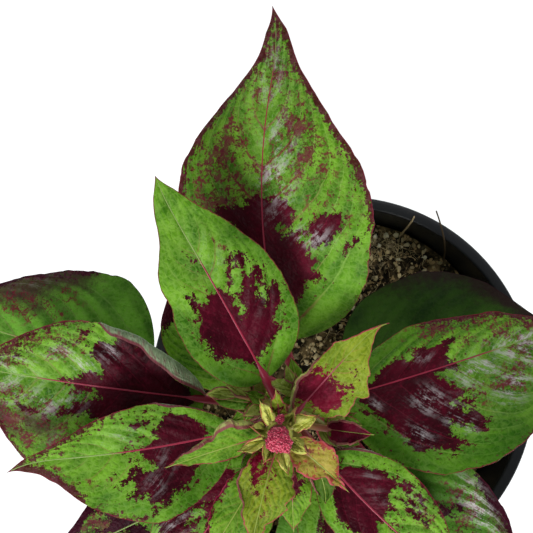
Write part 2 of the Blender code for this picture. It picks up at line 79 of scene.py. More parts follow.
# Pot
POT_HEIGHT = 100.0
RIM_RADIUS = 57.9
RIM_LIP = 3.6
RIM_SKIRT = 10.0
RIM_PLATE = 1.4
LIP_ROUND = 0.8
RIM_ROUND = 0.9
SKIRT_ROUND = 0.3
RIM_BEVEL = 0.4
BASE_RADIUS = 42.0
BASE_PLATE = 1.6
WALL = 1.3
PAD_RADIUS = 20.0
RECESS_OUTER = 36.0
RECESS = 2.0
DRAIN_HOLES = 6
DRAIN_RADIUS = 3.6
DRAIN_CIRCLE = 28.0
SLOTS = 4
SLOT_WIDTH = 12.0
SLOT_DEPTH = 6.0
SLOT_HEIGHT = 5.0
POT_SIDES = 144

# Soil
GAP = 0.3
SOIL_LEVEL = 85.0
SOIL_EDGE_DROP = 3.0
SOIL_EDGE_START = 40.0
SOIL_EDGE_END = 50.0
SOIL_LUMP = 1.1
SOIL_RIPPLES = ((0.31, 0.27, 0.7, 0.5), (0.31, -0.27, 1.9, 0.5), (0.63, -0.5, 0.0, 0.6))
SOIL_RINGS = 110
SOIL_SECTORS = 300
STRAND_RINGS = 9
# A low heap of coarse peat (x, y, spread, rise) and the perlite that shows on it.
HEAP = (15.0, 44.0, 8.0, 2.2)
PERLITE_SPOTS = (
    (11.0, 46.0), (14.5, 46.5), (12.2, 43.0), (26.5, 39.5), (18.2, 39.0), (17.5, 46.5), (21.0, 43.5)
)
# Loose bits: the seed of their random draws, how many they are and how large.
CRUMBS = dict(seed=3, count=2400, sizes=(0.2, 0.8))
PERLITE = dict(seed=4, count=60, sizes=(0.45, 1.1), spots=PERLITE_SPOTS)
FIBRES = dict(seed=6, count=560, lengths=(1.5, 7.0), radii=(0.05, 0.12), lift=0.5)
HEAP_FIBRES = dict(seed=8, count=260, lengths=(0.8, 3.6), radii=(0.04, 0.1), lift=1.4, heaped=True)
CRUMB_LIFT = 0.3
CRUMBS_OUTER = 50.0
FIBRES_OUTER = 49.0
# Straws that stand in the soil and lean on the rim: foot (x, y), place at the lip, end, radius and paleness.
RIM_STRAWS = (
    ((32.5, 38.7), (30.4, 44.2, 100.8), (26.7, 53.1, 110.0), 0.34, 0.05),
    ((18.6, 46.2), (20.0, 49.4, 99.4), (21.3, 51.8, 101.0), 0.32, 0.45),
)

# The stem's centre line and radius (x, y, z, radius), from its buried foot to its tip.
STEM_LINE = np.array(
    (
        (-4.5, -0.7, 60.0, 3.4),
        (-4.5, -0.7, 74.0, 4.0),
        (-4.8, -0.7, 90.0, 4.1),
        (-7.5, -0.7, 106.0, 3.8),
        (-11.5, -1.4, 124.0, 3.3),
        (-15.5, -2.7, 142.0, 2.8),
        (-18.7, -4.1, 158.0, 2.3),
        (-20.5, -5.1, 170.0, 1.9),
    )
)
STEM_RIBS = 6
STEM_RIB_DEPTH = 0.12
STEM_SIDES = 48
SWELL = 0.35
SWELL_HEIGHT = 2.2
# How far a stalk's foot stands from the stem.
STALK_CLEAR = GAP + 0.1

# Screen colours. A blade's are its light and deep green, its dark areas, its veins and its red margin.
LEAF_COLOURS = dict(
    leaf_blotched=((116, 172, 40), (54, 108, 14), (74, 8, 26), (160, 200, 96), (124, 22, 50)),
    # leaf_shaded is a darker copy of these colours that paints the shade the low leaves lie in.
    leaf_shaded=((110, 172, 52), (50, 100, 20), (62, 14, 32), (124, 164, 78), (84, 24, 44)),
    leaf_young=((136, 154, 34), (84, 118, 16), (112, 10, 36), (178, 194, 88), (178, 50, 84)),
    leaf_fresh=((110, 156, 34), (52, 102, 12), (90, 8, 34), (158, 192, 82), (150, 36, 66)),
    leaf_amber=((172, 158, 62), (128, 116, 34), (176, 66, 60), (204, 190, 104), (200, 84, 98)),
    leaf_pale=((176, 190, 84), (112, 136, 40), (150, 50, 62), (206, 212, 132), (176, 84, 96)),
    leaf_bract=((214, 218, 104), (158, 172, 58), (176, 70, 70), (226, 226, 150), (196, 96, 90)),
)
UNDER_COLOURS = dict(
    leaf_under=((150, 172, 132), (176, 192, 158)),
    young_under=((170, 180, 88), (204, 210, 134)),
)
STALK_COLOURS = dict(
    stalk_pink=((140, 168, 84), (158, 26, 60)),
    stalk_young=((146, 166, 62), (158, 40, 70)),
    stem_green=((128, 158, 72), (168, 74, 84)),
)
GRAIN_COLOURS = dict(
    crumb=((40, 34, 25), (255, 232, 180)),
    perlite_white=((236, 220, 176), (255, 248, 218)),
    fibre=((76, 60, 40), (240, 214, 164)),
    straw=((66, 54, 36), (246, 224, 170)),
)
# A leaf's materials: upper face, underside and stalk, and for shoots a second upper face.
LOW_LOOKS = ("leaf_shaded", "leaf_under", "stalk_pink")
MATURE_LOOKS = ("leaf_blotched", "leaf_under", "stalk_pink")
YOUNG_LOOKS = ("leaf_young", "young_under", "stalk_young")
FRESH_LOOKS = ("leaf_fresh", "young_under", "stalk_young")
AMBER_LOOKS = ("leaf_amber", "young_under", "stalk_young")
SHOOT_LOOKS = ("leaf_pale", "young_under", "stalk_young", "leaf_fresh")
BRACT_LOOKS = ("leaf_bract", "young_under", "stalk_young")

# Points along and across each kind of blade, and the sides of its stalk.
LARGE_GRID = (120, 63)
HIDDEN_GRID = (96, 49)
YOUNG_GRID = (86, 43)
LEAFLET_GRID = (34, 21)
EXTRA_GRID = (40, 23)
BRACT_GRID = (30, 19)
STALK_SIDES = 12
STALK_RINGS = 9
LEAFLET_STALK_SIDES = 8
FIRST_SEED = 20
SEED_STEP = 50

BLADE = 0.42
BLADE_EDGE = 0.22
RIB_PROUD = 0.14
VEIN_SPACING = 0.105
# How fast the secondary veins arch towards the tip, by the first, second and sixth power of v.
VEIN_ARCH = (0.2, 0.13, 0.22)
# The bulges between the veins and the groove along the midrib; a narrow blade has less of both.
BULGE = 1.5
GROOVE_DEPTH = 0.5
GROOVE_WIDTH = 1.3
FULL_RELIEF_WIDTH = 40.0
# A hooked midrib bends from here to the tip, and a tooth drops back over the last tenth of its length.
HOOK_START = 0.7
TOOTH_TOP = 0.9
# A value well outside every dark area.
FAR_OUTSIDE = -30.0
# How steeply a dark area's depth falls off past its outline, so that it throws islands there.
FRINGE = 0.72
FRINGE_POWER = 0.55
# How unevenly a rolled margin starts to roll.
ROLL_WANDER = 0.08
# How far round a rolled margin turns, and how much it rises for its width.
ROLL_TURN = 152.0
ROLL_LIFT = 0.45
FRILL = 0.35
# How far each leaf's noise lies from the next leaf's, and the range of a random turn in radians.
LAYER_STEP = 7.3
ANY_TURN = 6.3
LEAF_DEFAULTS = dict(
    petiole=15.0, petiole_pitch=32.0, petiole_radius=1.3, turn=0.0, hook=0.0, roll=0.0, fold=12.0,
    curl=-20.0, widest=0.37, base_power=2.4, tip_power=1.9, tip=0.0, wave=1.0, waves=3.0, phase=0.0,
    lean=0.0, teeth=0, tooth=0.0,
)
YOUNG_DEFAULTS = dict(fold=22.0, petiole_radius=0.9, wave=0.8, waves=2.5, teeth=4, tooth=0.14)
LEAFLET_DEFAULTS = dict(
    petiole=1.5, petiole_pitch=45.0, petiole_radius=0.65, fold=32.0, curl=-30.0, wave=0.4, waves=1.5
)
PLAIN_MARKS = dict(
    patches=(), spots=(), bars=(), islands=(), bands=(), rolls={}, bumps=(), freckle=(), bloom=(), veil=(),
    lush=(), gloom=(), blush=0.55, flush=0.35, dusk=0.0, quilt=0.6, crumple=0.0, ragged=0.018, rim=0.3,
    veins=1.0,
)

# Height on the stem, azimuth, stalk, pitch of the blade at its base and tip, and its length and width. turn
# bends the whole midrib sideways and hook only its last third, and tip widens a blade's last fifth.
LEAVES = {
    "leaf_low_s": dict(z=97, azimuth=276, petiole=22, pitch=(6, -22), size=(70, 40), turn=6),
    "leaf_low_w": dict(
        z=104, azimuth=170, petiole=48, pitch=(3, -19), size=(78, 48),
        turn=-10, roll=6, widest=0.22, base_power=2.1, tip_power=1.7,
    ),
    "leaf_low_e": dict(
        z=106, azimuth=24.5, petiole=6.5, pitch=(5, -16), size=(68, 46), turn=-24.5, widest=0.39
    ),
    "leaf_low_sw": dict(z=112, azimuth=218.5, petiole=19, pitch=(3, -20), size=(77, 37), turn=-20),
    "leaf_low_se": dict(z=114, azimuth=312, petiole=19, pitch=(5, -20), size=(78.5, 40.5)),
    "leaf_mid_nw": dict(
        z=121, azimuth=152, petiole=16, pitch=(8, -12), size=(34, 24.5),
        turn=-44, widest=0.45, tip_power=1.1,
    ),
    "leaf_mid_s": dict(z=122, azimuth=292, petiole=16, pitch=(4, -22), size=(62, 36), turn=8),
    "leaf_mid_sw": dict(z=127, azimuth=230, petiole=18, pitch=(4, -24), size=(58, 30), turn=12),
    "leaf_mid_n": dict(
        z=130, azimuth=107, petiole=20, petiole_pitch=39, pitch=(33, -18), size=(92, 54),
        turn=-36, hook=33, roll=-24, lean=-0.12, widest=0.41, base_power=2.1, tip_power=2.2, tip=1.6,
        waves=2.0,
    ),
    "leaf_mid_w": dict(
        z=132, azimuth=173, petiole=25, pitch=(13, -16), size=(71, 46),
        turn=-2, roll=-7, lean=0.24, widest=0.45, base_power=1.6, tip_power=1.8,
    ),
    "leaf_mid_e": dict(
        z=134, azimuth=17.5, petiole=9, pitch=(15, -26), size=(73, 44),
        roll=-30, lean=-0.37, widest=0.39, base_power=2.0, tip_power=1.5,
    ),
    "leaf_top_w": dict(
        z=145, azimuth=192, petiole=14, pitch=(14, -6), size=(60, 30.5),
        turn=-10, hook=29, lean=0.25, widest=0.38, base_power=1.7, tip_power=2.0, tip=0.7,
    ),
    "leaf_top_se": dict(
        z=148, azimuth=311.5, petiole=11, pitch=(15, -18), size=(56, 25.5),
        turn=14, lean=0.09, base_power=2.0,
    ),
    "leaf_top_nw": dict(
        z=151, azimuth=117, petiole=13, petiole_pitch=48, pitch=(27, 6), size=(60, 30),
        turn=4, hook=-11, roll=8, lean=-0.08, widest=0.38, base_power=2.3, tip_power=1.4, tip=0.7,
    ),
}
YOUNG_LEAVES = {
    "young_leaf_ne": dict(
        z=157, azimuth=52, petiole=5, petiole_pitch=52, pitch=(32, 1), size=(33, 17),
        turn=-6, hook=-37, roll=13, lean=-0.22, tip_power=2.2, teeth=5,
    ),
    "young_leaf_s": dict(z=160, azimuth=252, petiole=3, pitch=(16, -24), size=(27, 15), turn=8),
    "young_leaf_w": dict(
        z=163, azimuth=194, petiole=3, petiole_pitch=50, pitch=(12, -14), size=(26, 9),
        turn=8, roll=-22, lean=-0.2,
    ),
    "young_leaf_se": dict(
        z=164, azimuth=322, petiole=2, petiole_pitch=50, pitch=(14, -34), size=(20, 10), turn=-10
    ),
    "young_leaf_e": dict(
        z=153, azimuth=354, petiole=9, petiole_pitch=40, pitch=(22, -5), size=(12, 8), fold=40
    ),
    "young_leaf_sse": dict(z=148.2, azimuth=271, petiole=9, pitch=(3, -32), size=(20, 11), turn=2),
    "young_leaf_sw": dict(
        z=149.5, azimuth=239, petiole=13, pitch=(10, -22), size=(28, 14), teeth=5, tooth=0.1
    ),
    "young_leaf_n": dict(
        z=162, azimuth=98, petiole=3, petiole_pitch=60, pitch=(55, 30), size=(10, 4), teeth=0
    ),
}
HIDDEN_LEAVES = ("leaf_low_s", "leaf_mid_s", "leaf_mid_nw")
FRESH_LEAVES = ("young_leaf_w", "young_leaf_sse", "young_leaf_sw", "young_leaf_e")
AMBER_LEAVES = ("young_leaf_se",)
# Height on the stem, azimuth, length and pitch, and each leaflet's azimuth, pitch, length and width.
SHOOTS = {
    "side_shoot_nw": (
        143, 150, 10, 52, ((178, 20, 12, 6), (128, 35, 9, 5), (205, 48, 8, 4), (150, 60, 8, 4))
    ),
    "side_shoot_n": (146, 74, 10, 66, ((10, 20, 8, 4), (50, 40, 8, 4), (100, 62, 9, 4), (60, 78, 7, 3))),
    "side_shoot_e": (141, 342, 9, 56, ((310, 15, 8, 4), (20, 30, 9, 5), (345, 62, 8, 4))),
    "side_shoot_se": (153, 308, 7, 48, ((318, 20, 13, 6), (285, 35, 8, 4), (305, 65, 6, 3))),
    "side_shoot_sw": (138, 218, 9, 56, ((262, 20, 10, 5), (206, 10, 9, 5), (196, 60, 8, 4))),
}
SHOOT_RADIUS = 1.3
SHOOT_RINGS = 8
EXTRA_SHAPE = dict(widest=0.45, fold=20.0, tip_power=1.3)
# Where a leaflet's margin starts to roll.
LEAFLET_ROLL = ((0.05, 1.0), (0.2, 0.75), (0.7, 0.7), (1.0, 1.0))
EXTRA_ROLL = ((0.0, 0.8), (0.25, 0.6), (0.6, 0.75), (0.95, 1.0))
# Small crumpled leaflets that fill the shoots: share along the stalk, azimuth, stalk, pitch of the base and
# tip, length and width, turn and the look (0 pale yellow, 1 fresh green, 2 fresh green under painted shade).
EXTRA_LEAFLETS = {
    "side_shoot_nw": (
        (0.9, 180, 4.0, (14, -18), (12, 4.6), -20, 1),
        (0.6, 196, 3.0, (6, -24), (10, 4.4), 26, 1),
        (0.9, 166, 9.0, (4, 10), (8, 3.4), 24, 0),
        (1.0, 150, 5.0, (24, 2), (7, 3.4), 20, 0),
        (0.8, 120, 2.5, (44, 8), (7, 4.0), -30, 0),
        (1.0, 215, 2.0, (30, -20), (6, 3.5), 30, 1),
    ),
    "side_shoot_n": (
        (1.0, 146, 2.0, (58, -34), (9, 3.8), 24, 0),
        (0.8, 120, 3.0, (46, -10), (8, 3.4), -20, 0),
        (0.9, 190, 1.5, (50, 10), (5, 2.8), 10, 1),
        (0.6, 96, 3.0, (20, -20), (9, 4.2), 12, 1),
    ),
    "side_shoot_e": (
        (0.9, 12, 2.0, (40, -20), (9, 5.0), -24, 1),
        (1.0, 40, 2.0, (52, 0), (7, 3.6), 20, 0),
        (0.8, 325, 3.0, (24, -24), (9, 4.4), 20, 1),
    ),
    "side_shoot_se": (
        (1.0, 304, 3.0, (6, -34), (13.5, 6.0), -36, 2),
        (0.8, 268, 2.0, (40, -10), (8, 4.0), -20, 1),
    ),
    "side_shoot_sw": (
        (0.9, 236, 3.0, (14, -20), (12, 6.0), -20, 1),
        (1.0, 204, 2.0, (40, -10), (8, 4.2), 24, 0),
        (0.7, 250, 3.0, (30, -26), (9, 4.4), 20, 0),
    ),
}

# Markings. A patch is a dark area's outline in leaf coordinates: t from the blade's base to its tip, and v
# from -1 at its right edge to 1 at its left. Spots and islands are ellipses (t, v, half length, half width),
# islands staying green. Freckles, a painted sheen for highlights, stains (veil), painted shade that deepens
# the green and painted shade that darkens every colour are clouds: such an ellipse and a strength. Bars are
# (t, v, t, v, half width in millimetres), bands (side, first t, last t, width), bumps of the outline (side,
# t, half length, share) and rolls (t, where the margin starts to roll). The dusk value darkens a whole leaf
# with painted shade.
BASE_PATCH = (
    (0.03, 0.0), (0.1, 0.35), (0.18, 0.6), (0.26, 0.7), (0.3, 0.5), (0.36, 0.62), (0.4, 0.4), (0.44, 0.2),
    (0.42, 0.0), (0.45, -0.2), (0.38, -0.4), (0.4, -0.6), (0.3, -0.68), (0.24, -0.5), (0.16, -0.55),
    (0.08, -0.3),
)
YOUNG_MARKS = dict(crumple=0.15, quilt=0.25, ragged=0.08, rim=0.3, blush=0.25, veins=0.55)
# Leaflets take a little painted shade all over, as they lie under the leaves.
LEAFLET_MARKS = dict(
    crumple=0.4, ragged=0.15, quilt=0.25, rim=0.24, dusk=0.2, flush=0.1, blush=0.2, veins=0.4
)
BRACT_MARKS = dict(crumple=1.3, ragged=0.3, rim=0.14, dusk=0.0, flush=0.0, blush=0.05, veins=0.2)
# Every other bract is dimmed by painted shade: a deeper green and darker colours.
SHADED_BRACT_MARKS = dict(lush=((0.2, 0.0, 0.5, 1.5, 0.9),), gloom=((0.1, 0.0, 0.5, 1.5, 0.6),))
MARKS = {
    "leaf_mid_n": dict(
        patches=(
            (
                (0.02, 0.0), (0.08, 0.25), (0.2, 0.35), (0.3, 0.3), (0.36, 0.32), (0.4, 0.55), (0.43, 0.5),
                (0.42, 0.3), (0.44, 0.17), (0.455, 0.02), (0.45, -0.08), (0.455, -0.2), (0.43, -0.3),
                (0.385, -0.33), (0.37, -0.25), (0.355, -0.33), (0.375, -0.42), (0.41, -0.58), (0.42, -0.75),
                (0.385, -0.76), (0.36, -0.72), (0.33, -0.66), (0.31, -0.5), (0.29, -0.45), (0.28, -0.58),
                (0.26, -0.48), (0.235, -0.57), (0.22, -0.6), (0.21, -0.42), (0.17, -0.4), (0.13, -0.28),
                (0.1, -0.15), (0.03, -0.05),
            ),
        ),
        spots=((0.34, -0.88, 0.012, 0.04), (0.32, -0.8, 0.012, 0.04)),
        islands=((0.335, -0.43, 0.014, 0.06), (0.36, -0.2, 0.012, 0.05)),
        freckle=(
            (0.62, -0.45, 0.17, 0.35, 1.1), (0.56, 0.5, 0.16, 0.4, 1.0), (0.86, 0.0, 0.16, 0.9, 1.1),
            (0.44, 0.55, 0.06, 0.4, 1.1), (0.5, 0.0, 0.1, 0.5, 0.8), (0.42, -0.65, 0.1, 0.3, 0.6),
        ),
        bloom=(
            (0.5, -0.16, 0.07, 0.16, 1.0), (0.6, -0.2, 0.1, 0.2, 0.6), (0.345, -0.48, 0.03, 0.16, 0.9),
            (0.8, 0.0, 0.1, 0.4, 0.5), (0.4, -0.12, 0.03, 0.1, 0.5),
        ),
        bands=((-1, 0.3, 1.2, 2.1), (1, 0.26, 1.2, 2.0)),
        lush=((0.35, 0.8, 0.2, 0.4, 0.8), (0.15, -0.4, 0.15, 0.6, 0.4), (0.55, 0.85, 0.2, 0.25, 0.5)),
        gloom=((0.34, 0.3, 0.14, 0.3, 0.6), (0.2, 0.0, 0.15, 0.3, 0.5)),
        blush=0.95,
        flush=0.9,
    ),
    "leaf_top_nw": dict(
        patches=(
            (
                (0.04, 0.0), (0.09, 0.14), (0.14, 0.34), (0.19, 0.52), (0.2, 0.72), (0.25, 0.66), (0.28, 0.7),
                (0.3, 0.6), (0.33, 0.72), (0.38, 0.6), (0.42, 0.74), (0.41, 0.5), (0.44, 0.5), (0.43, 0.58),
                (0.48, 0.64), (0.52, 0.66), (0.52, 0.56), (0.49, 0.46), (0.46, 0.4), (0.45, 0.28),
                (0.47, 0.24), (0.46, 0.1), (0.47, 0.03), (0.48, -0.03), (0.44, -0.1), (0.43, -0.2),
                (0.41, -0.27), (0.45, -0.42), (0.475, -0.56), (0.48, -0.74), (0.45, -0.78), (0.41, -0.72),
                (0.385, -0.6), (0.41, -0.74), (0.39, -0.78), (0.365, -0.72), (0.375, -0.86), (0.34, -0.9),
                (0.3, -0.82), (0.27, -0.85), (0.26, -0.68), (0.22, -0.62), (0.2, -0.74), (0.165, -0.6),
                (0.145, -0.4), (0.11, -0.04),
            ),
        ),
        spots=((0.53, -0.62, 0.03, 0.06), (0.62, 0.1, 0.008, 0.03), (0.65, 0.17, 0.008, 0.03)),
        bars=((0.55, -0.45, 0.45, -0.22, 0.9),),
        islands=((0.375, -0.2, 0.03, 0.05), (0.355, -0.6, 0.02, 0.03)),
        freckle=((0.62, -0.5, 0.12, 0.12, 0.5), (0.5, 0.3, 0.08, 0.3, 0.4)),
        bloom=((0.33, -0.5, 0.05, 0.2, 0.15), (0.6, -0.2, 0.1, 0.3, 0.2)),
        bumps=((1, 0.78, 0.07, -0.12), (1, 0.5, 0.06, -0.1), (1, 0.64, 0.05, 0.05), (-1, 0.6, 0.08, -0.04)),
        lush=((0.06, 0.0, 0.12, 0.9, 0.7), (0.12, 0.85, 0.2, 0.3, 0.9), (0.6, -0.85, 0.2, 0.25, 0.6)),
        gloom=((0.1, 0.75, 0.2, 0.35, 0.35), (0.2, 0.4, 0.12, 0.3, 0.3)),
        veins=0.55,
        blush=0.66,
        flush=0.5,
    ),
    "leaf_mid_e": dict(
        patches=(
            (
                (0.08, 0.0), (0.12, 0.15), (0.145, 0.28), (0.175, 0.42), (0.2, 0.48), (0.24, 0.45),
                (0.265, 0.42), (0.285, 0.3), (0.305, 0.35), (0.28, 0.43), (0.3, 0.46), (0.33, 0.52),
                (0.36, 0.54), (0.37, 0.43), (0.415, 0.47), (0.46, 0.57), (0.485, 0.48), (0.44, 0.33),
                (0.42, 0.17), (0.43, 0.05), (0.45, 0.05), (0.45, -0.02), (0.44, -0.07), (0.38, -0.07),
                (0.36, -0.08), (0.4, -0.18), (0.42, -0.31), (0.46, -0.46), (0.385, -0.4), (0.405, -0.46),
                (0.445, -0.53), (0.465, -0.63), (0.46, -0.7), (0.44, -0.72), (0.385, -0.63), (0.34, -0.57),
                (0.34, -0.66), (0.375, -0.73), (0.385, -0.79), (0.35, -0.77), (0.34, -0.83), (0.315, -0.8),
                (0.285, -0.8), (0.265, -0.76), (0.22, -0.8), (0.195, -0.71), (0.175, -0.6), (0.15, -0.55),
                (0.14, -0.47), (0.11, -0.39), (0.075, -0.22), (0.06, -0.13),
            ),
        ),
        spots=((0.13, -0.6, 0.012, 0.04), (0.08, -0.36, 0.012, 0.04)),
        freckle=(
            (0.6, -0.42, 0.12, 0.2, 1.0), (0.5, 0.8, 0.22, 0.25, 1.1), (0.64, 0.32, 0.1, 0.2, 1.0),
            (0.8, -0.3, 0.12, 0.4, 0.6), (0.47, -0.3, 0.06, 0.25, 0.7), (0.75, 0.5, 0.15, 0.5, 1.1),
            (0.52, 0.4, 0.08, 0.16, 0.9), (0.7, -0.15, 0.08, 0.2, 1.0),
        ),
        bloom=(
            (0.3, -0.3, 0.05, 0.12, 1.1), (0.37, -0.5, 0.04, 0.1, 1.0), (0.4, -0.62, 0.03, 0.08, 0.9),
            (0.23, -0.62, 0.04, 0.1, 0.9), (0.12, -0.25, 0.02, 0.08, 0.8), (0.32, 0.3, 0.04, 0.1, 0.6),
            (0.5, -0.17, 0.08, 0.14, 1.4), (0.6, -0.46, 0.08, 0.16, 1.2), (0.74, -0.1, 0.18, 0.35, 1.1),
        ),
        lush=(
            (0.15, -0.75, 0.2, 0.3, 1.0), (0.45, -0.95, 0.3, 0.22, 1.0), (0.1, 0.5, 0.1, 0.4, 0.8),
            (0.3, 0.78, 0.24, 0.24, 0.9), (0.5, -0.75, 0.24, 0.24, 0.6), (0.62, 0.75, 0.2, 0.25, 0.5),
        ),
        bands=((1, 0.3, 1.2, 1.7), (-1, 0.5, 1.2, 1.3)),
        blush=0.65,
    ),
    "leaf_mid_w": dict(
        patches=(
            (
                (0.03, -0.1), (0.1, -0.35), (0.16, -0.58), (0.22, -0.72), (0.28, -0.8), (0.34, -0.84),
                (0.37, -0.78), (0.36, -0.7), (0.39, -0.72), (0.42, -0.74), (0.45, -0.58), (0.44, -0.5),
                (0.425, -0.4), (0.4, -0.32), (0.39, -0.18), (0.43, -0.24), (0.47, -0.2), (0.48, -0.12),
                (0.56, -0.07), (0.56, 0.0), (0.49, 0.02), (0.5, 0.08), (0.42, 0.05), (0.4, 0.1),
                (0.45, 0.14), (0.51, 0.2), (0.57, 0.29), (0.52, 0.32), (0.44, 0.27), (0.4, 0.32),
                (0.34, 0.4), (0.26, 0.5), (0.18, 0.5), (0.1, 0.35), (0.04, 0.15),
            ),
        ),
        spots=(
            (0.475, -0.82, 0.02, 0.05), (0.46, -0.62, 0.02, 0.05), (0.72, -0.5, 0.02, 0.06),
            (0.8, -0.6, 0.03, 0.05),
        ),
        bars=((0.5, 0.27, 0.68, 0.42, 0.7), (0.68, 0.42, 0.86, 0.5, 0.4)),
        veil=((0.62, 0.5, 0.12, 0.2, 0.9), (0.78, 0.75, 0.16, 0.25, 1.0), (0.8, -0.75, 0.1, 0.2, 0.7)),
        freckle=(
            (0.56, -0.62, 0.1, 0.25, 1.2), (0.74, -0.7, 0.14, 0.25, 1.5), (0.78, -0.38, 0.12, 0.2, 1.4),
            (0.68, 0.3, 0.18, 0.15, 1.1), (0.7, 0.65, 0.14, 0.25, 1.1), (0.5, 0.55, 0.14, 0.25, 0.8),
        ),
        bloom=(
            (0.47, -0.35, 0.05, 0.15, 0.8), (0.38, -0.6, 0.04, 0.15, 0.6), (0.5, 0.17, 0.06, 0.1, 0.6),
            (0.6, 0.25, 0.07, 0.12, 0.8), (0.4, 0.6, 0.12, 0.12, 0.6), (0.76, 0.15, 0.14, 0.35, 0.6),
            (0.75, -0.3, 0.1, 0.25, 0.5), (0.56, -0.5, 0.06, 0.14, 0.6),
        ),
        rolls={
            -1: ((0.0, 0.2), (0.11, 0.2), (0.155, 0.3), (0.23, 0.55), (0.27, 0.68), (0.4, 0.86), (0.47, 1.0)),
        },
        bands=((1, 0.3, 1.2, 1.9), (-1, 0.45, 1.2, 1.5)),
        lush=((0.42, 0.75, 0.2, 0.3, 1.0), (0.15, 0.6, 0.12, 0.5, 1.0)),
        gloom=((0.04, -0.4, 0.14, 0.6, 0.7), (0.08, 0.1, 0.1, 0.3, 0.6), (0.2, 0.2, 0.2, 0.4, 0.6)),
        blush=0.7,
    ),
    "leaf_top_w": dict(
        patches=(
            (
                (0.11, 0.0), (0.115, -0.3), (0.12, -0.5), (0.15, -0.66), (0.19, -0.78), (0.24, -0.82),
                (0.28, -0.78), (0.31, -0.66), (0.3, -0.55), (0.33, -0.5), (0.33, -0.42), (0.355, -0.35),
                (0.345, -0.2), (0.375, -0.12), (0.42, -0.05), (0.5, 0.0), (0.42, 0.03), (0.41, 0.12),
                (0.44, 0.22), (0.47, 0.3), (0.515, 0.4), (0.52, 0.47), (0.47, 0.43), (0.455, 0.5),
                (0.48, 0.66), (0.44, 0.72), (0.415, 0.62), (0.4, 0.74), (0.38, 0.88), (0.36, 0.78),
                (0.33, 0.84), (0.3, 0.74), (0.275, 0.66), (0.24, 0.7), (0.21, 0.6),
                (0.17, 0.42), (0.14, 0.26), (0.12, 0.05),
            ),
        ),
        spots=(
            (0.39, -0.58, 0.04, 0.06), (0.365, -0.82, 0.02, 0.05), (0.41, -0.28, 0.02, 0.05),
            (0.45, 0.12, 0.02, 0.05),
        ),
        islands=((0.34, -0.75, 0.03, 0.08), (0.39, 0.22, 0.02, 0.06)),
        freckle=((0.62, 0.53, 0.05, 0.1, 0.8), (0.56, 0.4, 0.04, 0.08, 0.6), (0.8, 0.6, 0.1, 0.4, 0.8)),
        bloom=((0.3, 0.2, 0.06, 0.2, 0.3), (0.37, 0.5, 0.04, 0.15, 0.4), (0.5, -0.4, 0.1, 0.2, 0.3)),
        rolls={-1: ((0.03, 1.0), (0.1, 0.9), (0.3, 0.93), (0.4, 1.0))},
        bands=((1, 0.6, 1.2, 3.0), (-1, 0.4, 1.2, 1.4), (1, 0.1, 0.75, 0.3)),
        lush=((0.2, 0.75, 0.14, 0.3, 0.8), (0.5, 0.8, 0.2, 0.25, 0.4)),
        gloom=((0.2, 0.1, 0.12, 0.6, 0.4),),
        veins=0.6,
        quilt=0.4,
    ),
    "leaf_top_se": dict(
        patches=(
            (
                (0.03, 0.02), (0.06, 0.14), (0.105, 0.36), (0.155, 0.55), (0.195, 0.67), (0.24, 0.8),
                (0.235, 0.7), (0.285, 0.73), (0.315, 0.72), (0.345, 0.84), (0.375, 0.86), (0.415, 0.88),
                (0.395, 0.77), (0.435, 0.74), (0.39, 0.68), (0.36, 0.62), (0.33, 0.64), (0.325, 0.5),
                (0.345, 0.4), (0.37, 0.36), (0.43, 0.35), (0.46, 0.32), (0.42, 0.26), (0.37, 0.14),
                (0.385, 0.03), (0.44, 0.01), (0.4, -0.06), (0.375, -0.15), (0.41, -0.24), (0.45, -0.32),
                (0.41, -0.48), (0.36, -0.6), (0.3, -0.74), (0.24, -0.76), (0.18, -0.62), (0.12, -0.4),
                (0.07, -0.15),
            ),
        ),
        spots=(
            (0.465, 0.06, 0.02, 0.05), (0.07, 0.3, 0.012, 0.05), (0.46, 0.76, 0.04, 0.07),
            (0.43, 0.6, 0.03, 0.08),
        ),
        bars=((0.41, 0.46, 0.5, 0.52, 0.8), (0.49, 0.56, 0.56, 0.6, 0.7)),
        freckle=((0.5, 0.6, 0.1, 0.25, 0.9),),
        bloom=((0.22, 0.45, 0.05, 0.12, 0.25), (0.3, 0.25, 0.05, 0.12, 0.2), (0.45, 0.7, 0.08, 0.15, 0.3)),
        rolls={1: ((0.0, 0.75), (0.1, 0.82), (0.22, 1.0))},
        bands=((1, 0.3, 1.2, 0.7), (-1, 0.3, 1.2, 0.8)),
    ),
    "leaf_low_w": dict(
        patches=(
            ((0.5, -1.1), (0.55, -0.93), (0.62, -0.9), (0.7, -0.94), (0.78, -0.92), (0.85, -1.1)),
            ((0.02, 0.1), (0.2, -0.3), (0.34, -0.3), (0.4, 0.0), (0.34, 0.4), (0.2, 0.4)),
            ((0.34, 0.78), (0.45, 0.74), (0.6, 0.82), (0.6, 1.1), (0.34, 1.1)),
        ),
        veil=(
            (0.4, -1.0, 0.16, 0.3, 1.2), (0.55, -0.85, 0.16, 0.35, 1.3), (0.75, -0.9, 0.14, 0.3, 1.1),
            (0.48, -0.5, 0.06, 0.2, 0.8),
        ),
        freckle=((0.5, -0.55, 0.2, 0.35, 0.8), (0.75, -0.3, 0.15, 0.5, 0.8)),
        bloom=((0.5, -0.88, 0.1, 0.12, 0.2), (0.45, 0.9, 0.1, 0.12, 0.4)),
        bands=((-1, 0.2, 1.2, 1.5), (1, 0.3, 1.2, 1.0)),
        quilt=0.35,
    ),
    # This leaf lies under the one above it, and painted shade darkens it nearly all over.
    "leaf_low_e": dict(
        veil=((0.45, 1.1, 0.25, 0.35, 1.1), (0.7, 1.0, 0.2, 0.4, 1.2), (0.9, 0.8, 0.2, 0.6, 1.3)),
        dusk=0.82,
        quilt=0.35,
        veins=0.5,
    ),
    "leaf_low_sw": dict(
        patches=(
            (
